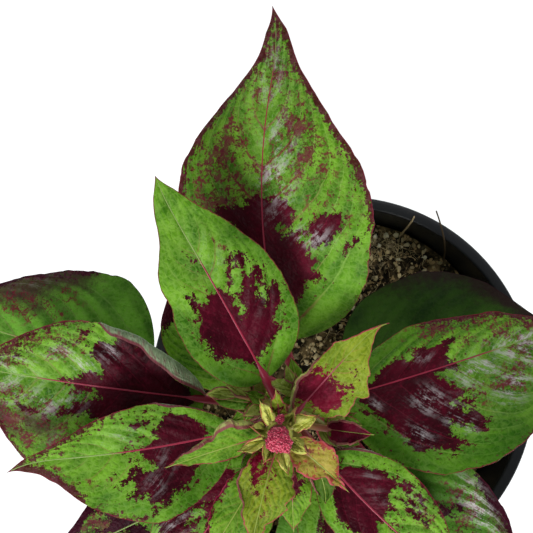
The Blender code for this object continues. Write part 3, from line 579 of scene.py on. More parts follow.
                (0.5, 0.3), (0.55, -0.2), (0.6, -0.45), (0.63, -0.8), (0.62, -1.1), (0.95, -1.1), (1.05, 0.0),
                (0.9, 1.1), (0.6, 1.1),
            ),
            BASE_PATCH,
        ),
        islands=(
            (0.7, -0.5, 0.06, 0.24), (0.66, -0.3, 0.03, 0.1), (0.76, -0.25, 0.05, 0.2),
            (0.7, 0.02, 0.05, 0.18), (0.62, 0.15, 0.03, 0.12), (0.82, -0.5, 0.04, 0.16),
        ),
        freckle=((0.72, -0.25, 0.2, 0.6, 1.3),),
        veil=((0.58, -0.1, 0.1, 0.5, 0.6),),
    ),
    "leaf_low_se": dict(
        patches=(
            ((0.05, -0.3), (0.16, -0.5), (0.24, -0.3), (0.28, 0.0), (0.24, 0.2), (0.1, 0.25)),
            ((0.28, 1.1), (0.34, 0.88), (0.45, 0.84), (0.58, 0.9), (0.65, 1.1)),
        ),
        spots=((0.33, 0.3, 0.03, 0.08), (0.36, 0.5, 0.02, 0.06)),
        veil=((0.5, 0.9, 0.25, 0.2, 0.9), (0.75, 0.2, 0.15, 0.5, 0.6)),
        freckle=((0.7, 0.3, 0.15, 0.5, 0.7), (0.4, 0.5, 0.16, 0.4, 1.0)),
        bloom=((0.43, 0.7, 0.1, 0.15, 1.3), (0.35, 0.78, 0.07, 0.12, 1.1)),
        lush=((0.28, 0.35, 0.16, 0.35, 1.0),),
        gloom=((0.25, 0.3, 0.14, 0.35, 0.4),),
        bands=((1, 0.3, 1.2, 1.4), (-1, 0.3, 1.2, 1.2)),
    ),
    "leaf_mid_sw": dict(
        patches=(
            ((0.02, 0.0), (0.2, -0.95), (0.45, -0.98), (0.62, -0.7), (0.6, 0.0), (0.4, 0.3), (0.15, 0.3)),
        ),
        islands=((0.36, -0.32, 0.05, 0.08), (0.42, -0.12, 0.035, 0.08), (0.5, -0.3, 0.02, 0.05)),
        bloom=((0.45, -0.6, 0.1, 0.25, 0.6),),
        veil=((0.5, -0.2, 0.15, 0.4, 0.5),),
    ),
    "leaf_mid_s": dict(
        patches=(
            ((0.01, 0.0), (0.1, -0.5), (0.35, -0.75), (0.55, -0.4), (0.6, 0.3), (0.45, 0.75), (0.15, 0.7)),
        ),
        bloom=((0.35, 0.0, 0.1, 0.1, 0.4),),
        dusk=0.3,
    ),
    "leaf_low_s": dict(patches=(BASE_PATCH,), dusk=0.35),
    "leaf_mid_nw": dict(
        patches=(((0.7, 0.2), (0.85, 0.0), (0.9, -0.6), (1.05, 0.0), (0.9, 1.1), (0.7, 1.1)),),
    ),
    "young_leaf_ne": dict(
        patches=(
            (
                (0.09, 0.05), (0.06, 0.4), (0.08, 0.8), (0.2, 0.88), (0.28, 0.88), (0.38, 0.78), (0.42, 0.62),
                (0.41, 0.45), (0.36, 0.45), (0.38, 0.28), (0.43, 0.12), (0.37, 0.05), (0.38, -0.08),
                (0.39, -0.25), (0.35, -0.38), (0.43, -0.42), (0.45, -0.55), (0.42, -0.64), (0.37, -0.62),
                (0.36, -0.8), (0.33, -0.8), (0.31, -0.66), (0.29, -0.74), (0.25, -0.74), (0.2, -0.66),
                (0.12, -0.82), (0.1, -0.6), (0.09, -0.3),
            ),
        ),
        spots=((0.5, -0.5, 0.015, 0.05),),
        rolls={1: ((0.0, 0.3), (0.1, 0.48), (0.2, 0.72), (0.32, 0.8), (0.45, 0.88), (0.55, 1.0))},
        bumps=((-1, 0.45, 0.06, 0.2), (-1, 0.66, 0.06, -0.18)),
        **{**YOUNG_MARKS, "blush": 0.6},
    ),
    "young_leaf_s": dict(
        patches=(
            (
                (0.04, -0.8), (0.1, -0.3), (0.2, -0.1), (0.28, -0.12), (0.34, -0.25), (0.4, -0.3),
                (0.38, -0.5), (0.3, -0.6), (0.27, -0.75), (0.2, -0.9),
            ),
        ),
        spots=(
            (0.44, -0.3, 0.02, 0.1), (0.3, 0.15, 0.03, 0.06), (0.24, 0.3, 0.02, 0.05), (0.6, 0.22, 0.02, 0.04)
        ),
        islands=((0.2, -0.45, 0.03, 0.08),),
        rolls={
            -1: ((0.1, 1.0), (0.3, 0.82), (0.6, 0.84), (0.75, 1.0)),
            1: ((0.1, 1.0), (0.2, 0.86), (0.4, 1.0)),
        },
        bumps=((1, 0.72, 0.05, -0.3), (-1, 0.55, 0.06, -0.25), (1, 0.35, 0.05, 0.15)),
        freckle=((0.2, -0.3, 0.2, 0.5, 0.8), (0.4, 0.1, 0.12, 0.3, 0.7)),
        gloom=((0.8, 0.0, 0.18, 0.7, 0.45), (0.5, -0.7, 0.16, 0.3, 0.35)),
        **{**YOUNG_MARKS, "rim": 0.5, "veins": 1.0},
    ),
    "young_leaf_w": dict(
        rolls={-1: ((0.0, 0.6), (0.2, 0.58), (0.4, 0.6), (0.7, 0.75), (0.95, 1.0))},
        bumps=((-1, 0.2, 0.2, 0.9), (-1, 0.45, 0.04, -0.25), (-1, 0.62, 0.05, 0.15)),
        **{**YOUNG_MARKS, "rim": 0.4},
    ),
    "young_leaf_e": dict(
        patches=(((0.0, -1.1), (1.05, -1.1), (1.05, 1.1), (0.0, 1.1)),),
        rolls={-1: ((0.0, 0.6), (0.8, 0.7), (1.0, 1.0)), 1: ((0.0, 0.6), (0.8, 0.7), (1.0, 1.0))},
        **YOUNG_MARKS,
    ),
    "young_leaf_sw": dict(
        patches=(((0.1, -1.1), (0.2, -0.86), (0.6, -0.82), (0.9, -1.1)),),
        **YOUNG_MARKS,
    ),
    "young_leaf_se": dict(
        bands=((1, 0.0, 1.2, 0.9), (-1, 0.0, 1.2, 0.7)),
        freckle=((0.2, 0.2, 0.25, 0.6, 0.5),),
        bumps=(
            (-1, 0.6, 0.09, -0.6), (-1, 0.82, 0.08, -0.4), (1, 0.74, 0.1, -0.6), (1, 0.9, 0.06, -0.3),
            (1, 0.42, 0.08, 0.2),
        ),
        **{**YOUNG_MARKS, "rim": 0.5, "crumple": 0.5},
    ),
}

CREST_RISE = 5.0
CREST_LUMPS = ((0.3, 0.3, 0.0, 2.6), (1.6, -1.2, -0.6, 1.9), (-0.9, -0.9, -0.8, 2.0), (0.6, 4.6, -2.4, 1.1))
CREST_BUDS = 4200
CREST_CORE = 0.8
SMALL_LUMPS = 4.5
# Each next place of a spiral over a ball turns by the golden angle.
GOLDEN_ANGLE = 137.508
NECK_RADIUS = 1.6
NECK_RINGS = 6
CREST_SEED = 11
# Bracts: azimuth, pitch at the base and the tip, length and width.
BRACTS = (
    (28, (32, 12), 8.0, 4.4),
    (58, (50, 30), 5.5, 3.4),
    (118, (38, 18), 7.0, 3.4),
    (160, (54, 34), 5.0, 3.6),
    (200, (36, 16), 7.5, 3.6),
    (240, (52, 32), 5.0, 3.8),
    (284, (34, 14), 6.5, 3.4),
    (332, (50, 32), 6.0, 3.8),
)
BRACT_DROP = 2.6
BRACT_SEED = 400
COLLAR_WIDTH = 1.1
COLLAR_HEIGHT = 1.6
COLLAR_TURNS = 40
COLLAR_SIDES = 12


def smooth_step(x):
    """Rises smoothly from 0 at 0 to 1 at 1."""
    x = np.clip(x, 0.0, 1.0)
    return x * x * (3 - 2 * x)


def heading(azimuth, pitch):
    """Unit vector for an azimuth from +X and a pitch over the level, in degrees."""
    a, p = np.radians(azimuth), np.radians(pitch)
    return np.stack([np.cos(p) * np.cos(a), np.cos(p) * np.sin(a), np.sin(p) + 0 * a], axis=-1)


def unit(vectors):
    return vectors / np.maximum(np.linalg.norm(vectors, axis=-1, keepdims=True), 1e-9)


def ripple(x, seed, octaves=4):
    """A smooth wandering value near -1 to 1 along x, the same each run."""
    rng = np.random.default_rng(seed)
    total = np.zeros_like(np.asarray(x, float))
    for octave in range(octaves):
        rate = 2.0 ** octave
        total = total + np.sin(rate * x * rng.uniform(0.8, 1.25) + rng.uniform(0, ANY_TURN)) / rate ** 0.7
    return total / 2


# Nodes of a material


class Look:
    """A material with short ways to add and wire its nodes."""

    def __init__(self, name, roughness=0.5, specular=0.5):
        self.material = bpy.data.materials.new(name)
        self.material.use_nodes = True
        self.tree = self.material.node_tree
        self.shader = self.tree.nodes["Principled BSDF"]
        self.shader.inputs["Roughness"].default_value = roughness
        self.shader.inputs["Specular IOR Level"].default_value = specular

    def wire(self, value, socket):
        if isinstance(value, bpy.types.NodeSocket):
            self.tree.links.new(value, socket)
        else:
            socket.default_value = value

    def attribute(self, name, output="Fac"):
        node = self.tree.nodes.new("ShaderNodeAttribute")
        node.attribute_name = name
        return node.outputs[output]

    def math(self, operation, a, b=0.0, c=0.0):
        node = self.tree.nodes.new("ShaderNodeMath")
        node.operation = operation
        for value, socket in zip((a, b, c), node.inputs):
            self.wire(value, socket)
        return node.outputs[0]

    def times(self, a, b):
        return self.math("MULTIPLY", a, b)

    def plus(self, a, b):
        return self.math("ADD", a, b)

    def line(self, value, slope, start):
        return self.math("MULTIPLY_ADD", value, slope, start)

    def swing(self, noise, slope, start):
        """A start, moved up and down by a noise about its middle."""
        return self.line(self.math("SUBTRACT", noise, 0.5), slope, start)

    def scaled(self, vector, scale):
        node = self.tree.nodes.new("ShaderNodeVectorMath")
        node.operation = "MULTIPLY"
        self.wire(vector, node.inputs[0])
        self.wire(scale, node.inputs[1])
        return node.outputs[0]

    def part(self, vector, axis):
        node = self.tree.nodes.new("ShaderNodeSeparateXYZ")
        self.wire(vector, node.inputs[0])
        return node.outputs[axis]

    def step(self, value, low, high, start=0.0, end=1.0):
        node = self.tree.nodes.new("ShaderNodeMapRange")
        node.interpolation_type = "SMOOTHSTEP"
        for item, socket in zip((value, low, high, start, end), node.inputs):
            self.wire(item, socket)
        return node.outputs[0]

    def noise(self, vector, scale, detail=3.0, roughness=0.5):
        node = self.tree.nodes.new("ShaderNodeTexNoise")
        self.wire(vector, node.inputs["Vector"])
        node.inputs["Scale"].default_value = scale
        node.inputs["Detail"].default_value = detail
        node.inputs["Roughness"].default_value = roughness
        return node.outputs[0]

    def cells(self, vector, scale, feature="F1"):
        node = self.tree.nodes.new("ShaderNodeTexVoronoi")
        node.feature = feature
        self.wire(vector, node.inputs["Vector"])
        node.inputs["Scale"].default_value = scale
        return node

    def warped(self, vector, scale, amount):
        """The vector, pushed about by soft noise of a given scale."""
        noise = self.tree.nodes.new("ShaderNodeTexNoise")
        self.wire(vector, noise.inputs["Vector"])
        noise.inputs["Scale"].default_value = scale
        noise.inputs["Detail"].default_value = 3.0
        node = self.tree.nodes.new("ShaderNodeVectorMath")
        node.operation = "MULTIPLY_ADD"
        self.wire(noise.outputs["Color"], node.inputs[0])
        self.wire((amount, amount, amount), node.inputs[1])
        self.wire(vector, node.inputs[2])
        return node.outputs[0]

    def net(self, vector, scale):
        """Distance from the borders of crinkled cells."""
        return self.cells(self.warped(vector, 0.9, 1.3), scale, "DISTANCE_TO_EDGE").outputs["Distance"]

    def mix(self, factor, a, b, blend="MIX"):
        node = self.tree.nodes.new("ShaderNodeMix")
        node.data_type = "RGBA"
        node.blend_type = blend
        for value, socket in zip((factor, a, b), (node.inputs[0], node.inputs[6], node.inputs[7])):
            self.wire(value, socket)
        return node.outputs[2]

    def wash(self, base, where, share, colour):
        """The base with a share of another colour over it where a value is high."""
        return self.mix(self.times(where, share), base, colour)

    def place(self):
        """A point's place in the part, in millimetres."""
        node = self.tree.nodes.new("ShaderNodeTexCoord")
        return self.scaled(node.outputs["Object"], (1 / MM, 1 / MM, 1 / MM))

    def bump(self, height, strength, distance):
        node = self.tree.nodes.new("ShaderNodeBump")
        node.inputs["Strength"].default_value = strength
        node.inputs["Distance"].default_value = distance * MM
        self.wire(height, node.inputs["Height"])
        self.wire(node.outputs[0], self.shader.inputs["Normal"])

    def colour(self, value):
        self.wire(value, self.shader.inputs["Base Color"])


def tint(red, green, blue):
    """A colour given as 8-bit screen values."""
    def linear(value):
        value = value / 255
        return value / 12.92 if value <= 0.04045 else ((value + 0.055) / 1.055) ** 2.4

    return (linear(red), linear(green), linear(blue), 1.0)


def toned(colour, share):
    """A colour made darker or brighter by a share."""
    return tuple(min(1.0, share * value) for value in colour[:3]) + (1.0,)


def leaf_look(name, light, deep, dark, vein, rim):
    """A blade's upper face: green with pale veins, torn dark blotches and bands, freckles and red veins, with
    painted light and shade: lit and shaded sides of each bulge, a painted sheen for highlights, and painted
    shade over whole leaves and in clouds.

    The sheet attribute is millimetres over the blade, and the flow's x counts the secondary veins.
    """
    look = Look(name, specular=0.07)
    flow = look.attribute("flow", "Vector")
    sheet = look.attribute("sheet", "Vector")
    veined = look.attribute("vein")
    flushed = look.attribute("flush")
    freckle = look.attribute("freckle")
    cloud = look.noise(sheet, 0.11, 3.0, 0.55)
    mottle = look.noise(sheet, 0.75, 5.0, 0.65)
    grainy = look.noise(sheet, 0.5, 6.0, 0.78)
    specks = look.noise(sheet, 1.45, 5.0, 0.74)
    patchy = look.noise(sheet, 0.24, 4.0, 0.6)
    net = look.net(sheet, 0.62)
    place = look.swing(look.noise(sheet, 0.16, 2.0), 0.22, look.part(flow, 0))
    beat = look.math("PINGPONG", place, 0.5)
    wave = look.math("SINE", look.times(place, 2 * math.pi))
    vein_line = look.times(look.step(beat, 0.05, 0.0), veined)

    # Green with painted light on one side of each bulge and painted shade on the other, under a crinkled net
    # of pale veins.
    green = look.mix(look.step(cloud, 0.3, 0.66), deep, light)
    green = look.wash(green, look.times(look.step(wave, -0.3, 1.0), veined), 0.5, deep)
    green = look.wash(green, look.times(look.step(wave, 0.2, -1.0), veined), 0.4, toned(light, 1.25))
    green = look.wash(green, look.step(mottle, 0.42, 0.62), 0.18, vein)
    green = look.wash(green, look.step(mottle, 0.5, 0.34), 0.3, deep)
    green = look.wash(green, vein_line, 0.5, vein)
    green = look.wash(green, look.step(net, 0.16, 0.0), 0.2, vein)
    # Painted shade: clouds that deepen the green where the leaf lies in shade.
    green = look.wash(green, look.attribute("lush"), 0.72, toned(deep, 0.75))

    # How far a spot lies inside the dark areas, torn mostly over the sheet and partly along the veins.
    along = look.noise(look.scaled(flow, (3.2, 0.3, 1.0)), 1.0, 4.0, 0.65)
    cell = look.part(look.cells(sheet, 1.35).outputs["Color"], 0)
    tear = -0.1
    for noise, slope in ((grainy, 7.0), (specks, 4.0), (along, 3.6), (cell, 0.8)):
        tear = look.swing(noise, slope, tear)
    blotch = look.step(look.plus(look.attribute("blotch"), tear), -0.08, 0.08)
    band = look.step(look.line(tear, 1.3, look.attribute("band")), -0.12, 0.12)

    # Freckles gather in patches, and fine red lines follow the veins and the net.
    crowd = look.times(freckle, look.step(patchy, 0.38, 0.56))
    need = look.line(freckle, -0.21, 0.69)
    need = look.line(look.times(look.swing(patchy, 1.0, 0.0), freckle), -0.6, need)
    speck = look.step(look.math("SUBTRACT", specks, need), -0.01, 0.02)
    haze = look.times(crowd, look.step(look.noise(sheet, 0.5, 6.0, 0.82), 0.45, 0.6))
    thread = look.times(look.step(net, 0.15, 0.07), look.step(look.noise(sheet, 0.5, 3.0), 0.48, 0.56))
    thread = look.times(thread, look.step(crowd, 0.2, 0.45))
    flush = look.times(look.step(beat, 0.06, 0.025), flushed)
    flush = look.times(flush, look.step(look.noise(sheet, 0.4, 4.0, 0.6), 0.38, 0.5))
    veil = look.swing(grainy, 1.4, look.attribute("veil"))

    # The stains on the green, from the faintest to the dark areas.
    spotted = look.mix(look.step(patchy, 0.4, 0.6), dark, tint(108, 40, 52))
    banded = look.mix(look.step(mottle, 0.4, 0.7), dark, tint(104, 46, 62))
    shade = look.mix(look.step(cloud, 0.35, 0.65), dark, toned(dark, 0.4))
    shade = look.wash(shade, look.step(mottle, 0.5, 0.66), 0.3, rim)
    shade = look.wash(shade, look.math("MAXIMUM", vein_line, look.times(flushed, 0.6)), 0.45, rim)
    base = look.wash(green, haze, 0.5, tint(108, 52, 58))
    base = look.wash(base, look.step(veil, 0.15, 1.0), 0.85, tint(72, 32, 44))
    base = look.wash(base, flush, 0.9, rim)
    base = look.wash(base, thread, 0.85, tint(110, 24, 44))
    base = look.wash(base, speck, 0.85, spotted)
    base = look.wash(base, band, 0.95, banded)
    base = look.mix(blotch, base, shade)

    # Painted sheen: a pale painted highlight that breaks up over the crinkles and lies on one side of each
    # bulge.
    streak = look.noise(look.scaled(flow, (6.5, 0.22, 1.0)), 1.0, 5.0, 0.7)
    grain = look.noise(sheet, 0.55, 6.0, 0.8)
    sheen = look.line(wave, -0.04, look.times(look.plus(streak, grain), 0.5))
    sheen = look.times(look.attribute("bloom"), look.step(sheen, 0.47, 0.62))
    base = look.wash(base, sheen, 0.9, tint(214, 206, 208))

    # The red margin, then painted shade: whole leaves darkened as if in shadow, and clouds of painted shade.
    edge = look.times(look.step(look.attribute("margin"), 1.0, 0.55), look.step(grainy, 0.36, 0.52))
    base = look.wash(base, edge, 0.85, rim)
    # Painted shade over a whole leaf: deep green, turning deep purple where the leaf is stained.
    dim = look.mix(look.step(veil, 0.2, 1.1), tint(15, 28, 13), tint(34, 20, 25))
    base = look.mix(look.attribute("dusk"), base, dim)
    look.colour(look.mix(look.attribute("gloom"), base, tint(60, 50, 50), "MULTIPLY"))
    look.wire(look.line(mottle, 0.2, 0.34), look.shader.inputs["Roughness"])
    dome = look.step(net, 0.0, 0.42)
    look.bump(look.line(specks, 0.22, look.line(grainy, 0.8, dome)), 0.5, 0.26)
    return look.material


def under_look(name, pale, vein):
    """A blade's underside: pale, matt, with raised veins."""
    look = Look(name, roughness=0.5, specular=0.2)
    sheet = look.attribute("sheet", "Vector")
    margin = look.attribute("margin")
    beat = look.math("PINGPONG", look.part(look.attribute("flow", "Vector"), 0), 0.5)
    line = look.step(beat, 0.09, 0.0)
    net = look.step(look.net(sheet, 0.7), 0.16, 0.0)
    cloud = look.noise(sheet, 0.22, 4.0, 0.6)
    mottle = look.noise(sheet, 0.9, 5.0, 0.7)
    stain = look.times(look.step(mottle, 0.5, 0.6), look.step(margin, 7.0, 2.0))
    base = look.mix(look.step(cloud, 0.34, 0.64), toned(pale, 0.5), pale)
    base = look.wash(base, look.step(mottle, 0.5, 0.36), 0.5, tint(62, 84, 34))
    base = look.wash(base, net, 0.4, vein)
    base = look.wash(base, line, 0.6, vein)
    base = look.wash(base, stain, 0.55, tint(128, 60, 76))
    look.colour(look.wash(base, look.step(margin, 1.6, 0.8), 0.85, tint(124, 36, 62)))
    look.bump(look.plus(line, look.plus(net, mottle)), 0.5, 0.25)
    return look.material


def stalk_look(name, green, pink):
    """Stalks and midribs: pale green that flushes pink, with fine lengthwise streaks."""
    look = Look(name, roughness=0.42, specular=0.5)
    streak = look.noise(look.scaled(look.attribute("flow", "Vector"), (6.0, 0.4, 1.0)), 1.0, 3.0, 0.6)
    blush = look.swing(streak, 0.5, look.attribute("blush"))
    look.colour(look.mix(look.step(blush, 0.15, 0.75), green, pink))
    look.bump(streak, 0.3, 0.15)
    return look.material


def grain_look(name, first, second):
    """Loose bits whose colour runs from one to the other by each bit's own shade."""
    look = Look(name, roughness=0.8, specular=0.25)
    cloud = look.noise(look.place(), 1.5, 4.0, 0.6)
    mixed = look.swing(cloud, 0.6, look.attribute("shade"))
    look.colour(look.mix(look.step(mixed, 0.0, 1.0), first, second))
    look.bump(cloud, 0.5, 0.2)
    return look.material


def pot_look():
    """Black plastic with a little dust."""
    look = Look("pot_plastic", roughness=0.42, specular=0.38)
    place = look.place()
    dust = look.step(look.noise(place, 0.35, 6.0, 0.7), 0.56, 0.75)
    base = look.mix(look.noise(place, 0.05, 3.0), tint(17, 19, 23), tint(27, 30, 35))
    look.colour(look.wash(base, dust, 0.25, tint(92, 84, 72)))
    look.wire(look.line(dust, 0.25, 0.38), look.shader.inputs["Roughness"])
    look.bump(look.noise(place, 1.6, 3.0, 0.6), 0.25, 0.12)
    return look.material


def soil_look():
    """Dark peat with lighter patches and tan bits."""
    look = Look("peat", roughness=0.95, specular=0.15)
    place = look.place()
    cloud = look.noise(place, 0.22, 5.0, 0.65)
    bits = look.part(look.cells(place, 1.1).outputs["Color"], 1)
    base = look.mix(look.step(cloud, 0.42, 0.7), tint(30, 26, 19), tint(142, 120, 84))
    look.colour(look.wash(base, look.step(bits, 0.8, 0.9), 0.75, tint(220, 188, 136)))
    look.bump(look.noise(place, 1.2, 6.0, 0.7), 0.8, 0.5)
    return look.material


def crest_look():
    """Velvety pink buds whose paler tips are a painted highlight."""
    look = Look("crest_pink", roughness=0.6, specular=0.3)
    look.shader.inputs["Sheen Weight"].default_value = 0.3
    shade = look.attribute("shade")
    # Painted highlight: the outer tips of the brighter buds turn pale pink.
    pale = look.step(look.times(look.attribute("tip"), shade), 0.35, 0.85)
    base = look.mix(shade, tint(156, 8, 54), tint(242, 64, 108))
    look.colour(look.wash(base, pale, 0.6, tint(252, 166, 178)))
    look.bump(look.noise(look.place(), 4.0, 3.0), 0.4, 0.1)
    return look.material


# Meshes


CLOUDS = ("freckle", "bloom", "veil", "lush", "gloom")
LEAF_VALUES = ("blotch", "band", *CLOUDS, "flush", "dusk", "margin", "vein", "blush")
GRAIN_VALUES = ("shade",)
CREST_VALUES = ("shade", "tip", "blush")


class Body:
    """Gathers closed shells with their values at each point, and makes one object of them."""

    VALUES = (*LEAF_VALUES, "shade", "tip")
    FAR = {"margin": 50.0, "blotch": FAR_OUTSIDE, "band": FAR_OUTSIDE}

    def __init__(self):
        self.points = []
        self.faces = []
        self.looks = []
        self.values = {name: [] for name in self.VALUES}
        self.flow = []
        self.sheet = []
        self.uv = []
        self.count = 0

    def add(self, points, faces, looks=0, flow=None, uv=None, sheet=None, **values):
        points = np.asarray(points, float).reshape(-1, 3)
        number = len(points)
        self.points.append(points)
        rows = faces.tolist() if isinstance(faces, np.ndarray) else faces
        self.faces.append([[corner + self.count for corner in face] for face in rows])
        self.looks.append(np.broadcast_to(looks, len(faces)))
        self.flow.append(points * 0.3 if flow is None else np.asarray(flow, float).reshape(-1, 3))
        self.sheet.append(points if sheet is None else np.asarray(sheet, float).reshape(-1, 3))
        self.uv.append(points[:, :2] * 0.01 + 0.5 if uv is None else np.asarray(uv, float).reshape(-1, 2))
        for name in self.VALUES:
            value = values.get(name, self.FAR.get(name, 0.0))
            self.values[name].append(np.broadcast_to(np.asarray(value, float).reshape(-1), number))
        self.count += number

    def object(self, name, looks, names, sharp=50.0):
        mesh = bpy.data.meshes.new(name)
        points = np.concatenate(self.points) * MM
        faces = [face for group in self.faces for face in group]
        mesh.from_pydata(points.tolist(), [], faces)
        mesh.shade_smooth()
        mesh.set_sharp_from_angle(angle=math.radians(sharp))
        for look in looks:
            mesh.materials.append(look)
        mesh.polygons.foreach_set("material_index", np.concatenate(self.looks).astype(np.int32))
        for key in names:
            layer = mesh.attributes.new(key, "FLOAT", "POINT")
            layer.data.foreach_set("value", np.concatenate(self.values[key]).astype(np.float32))
        for key, value in (("flow", self.flow), ("sheet", self.sheet)):
            layer = mesh.attributes.new(key, "FLOAT_VECTOR", "POINT")
            layer.data.foreach_set("vector", np.concatenate(value).astype(np.float32).ravel())
        corners = np.empty(len(mesh.loops), dtype=np.int32)
        mesh.loops.foreach_get("vertex_index", corners)
        layer = mesh.uv_layers.new(name="UVMap")
        layer.data.foreach_set("uv", np.concatenate(self.uv)[corners].astype(np.float32).ravel())
        mesh.update()
        obj = bpy.data.objects.new(name, mesh)
        bpy.context.scene.collection.objects.link(obj)
        return obj


def turns(count):
    """Angles of a full turn in equal steps."""
    return 2 * np.pi * np.arange(count) / count


def grid_faces(rows, columns):
    """Four-sided faces over a grid of points, facing the side that rows crossed into columns give."""
    i, j = np.meshgrid(np.arange(rows - 1), np.arange(columns - 1), indexing="ij")
    a = (i * columns + j).ravel()
    return np.stack([a, a + 1, a + columns + 1, a + columns], axis=1)


def sheet_faces(rows, columns):
    """Faces of a thin closed sheet: an upper grid, a lower grid, and a rim round them."""
    upper = grid_faces(rows, columns)
    under = rows * columns
    lower = upper[:, ::-1] + under
    rim = []
    for i in range(rows - 1):
        a, b = i * columns, (i + 1) * columns
        rim.append((a, b, b + under, a + under))
        a, b = a + columns - 1, b + columns - 1
        rim.append((b, a, a + under, b + under))
    last = (rows - 1) * columns
    for j in range(columns - 1):
        rim.append((j, j + under, j + 1 + under, j + 1))
        a = last + j
        rim.append((a + 1, a + 1 + under, a + under, a))
    return upper, lower, np.array(rim)


def ring_faces(rows, sides, inward=False):
    """Four-sided faces between rings of points."""
    faces = []
    for start in range(0, (rows - 1) * sides, sides):
        for j in range(sides):
            a, b = start + j, start + (j + 1) % sides
            faces.append((a, a + sides, b + sides, b) if inward else (a, b, b + sides, a + sides))
    return faces


def closed_faces(rows, sides, inward=False):
    """Faces between rings and triangles to the middle of both ends, two points that follow the rings."""
    first, last = rows * sides, (rows - 1) * sides
    caps = []
    for j in range(sides):
        n = (j + 1) % sides
        caps.append((first, n, j))
        caps.append((first + 1, last + j, last + n))
    if inward:
        caps = [cap[::-1] for cap in caps]
    return ring_faces(rows, sides, inward) + caps


def tube(body, centres, sides_left, sides_up, radii, sides=STALK_SIDES, **settings):
    """A closed tube through centres, with a section laid out by the two side directions."""
    angles = turns(sides)[:, None]
    ring = np.cos(angles) * sides_left[:, None, :] + np.sin(angles) * sides_up[:, None, :]
    points = centres[:, None, :] + ring * np.asarray(radii)[:, None, None]
    rows = len(centres)
    for key, value in settings.items():
        if np.ndim(value) == 1:
            settings[key] = np.concatenate([np.repeat(value, sides), [value[0], value[-1]]])
    path = np.concatenate([[0], np.cumsum(np.linalg.norm(np.diff(centres, axis=0), axis=1))])
    around = np.tile(np.arange(sides) / sides * 3, rows)
    flow = np.stack([around, np.repeat(path, sides) * 0.3, np.zeros(rows * sides)], axis=1)
    uv = np.concatenate([flow[:, :2] * 0.2 + 0.5, [[0.5, 0.5], [0.5, 0.5]]])
    flow = np.concatenate([flow, np.zeros((2, 3))])
    points = np.concatenate([points.reshape(-1, 3), centres[[0, -1]]])
    body.add(points, closed_faces(rows, sides), flow=flow, uv=uv, **settings)


# Leaves


def half_outline(t, spec):
    """Share of the full half width at t along the midrib: a round base and a drawn-out tip."""
    widest = spec["widest"]
    base = (1 - np.clip(1 - t / widest, 0, 1) ** spec["base_power"]) ** (1 / spec["base_power"])
    tip = np.clip(1 - np.clip((t - widest) / (1 - widest), 0, 1) ** 2, 0, 1) ** spec["tip_power"]
    return np.where(t < widest, base, tip)


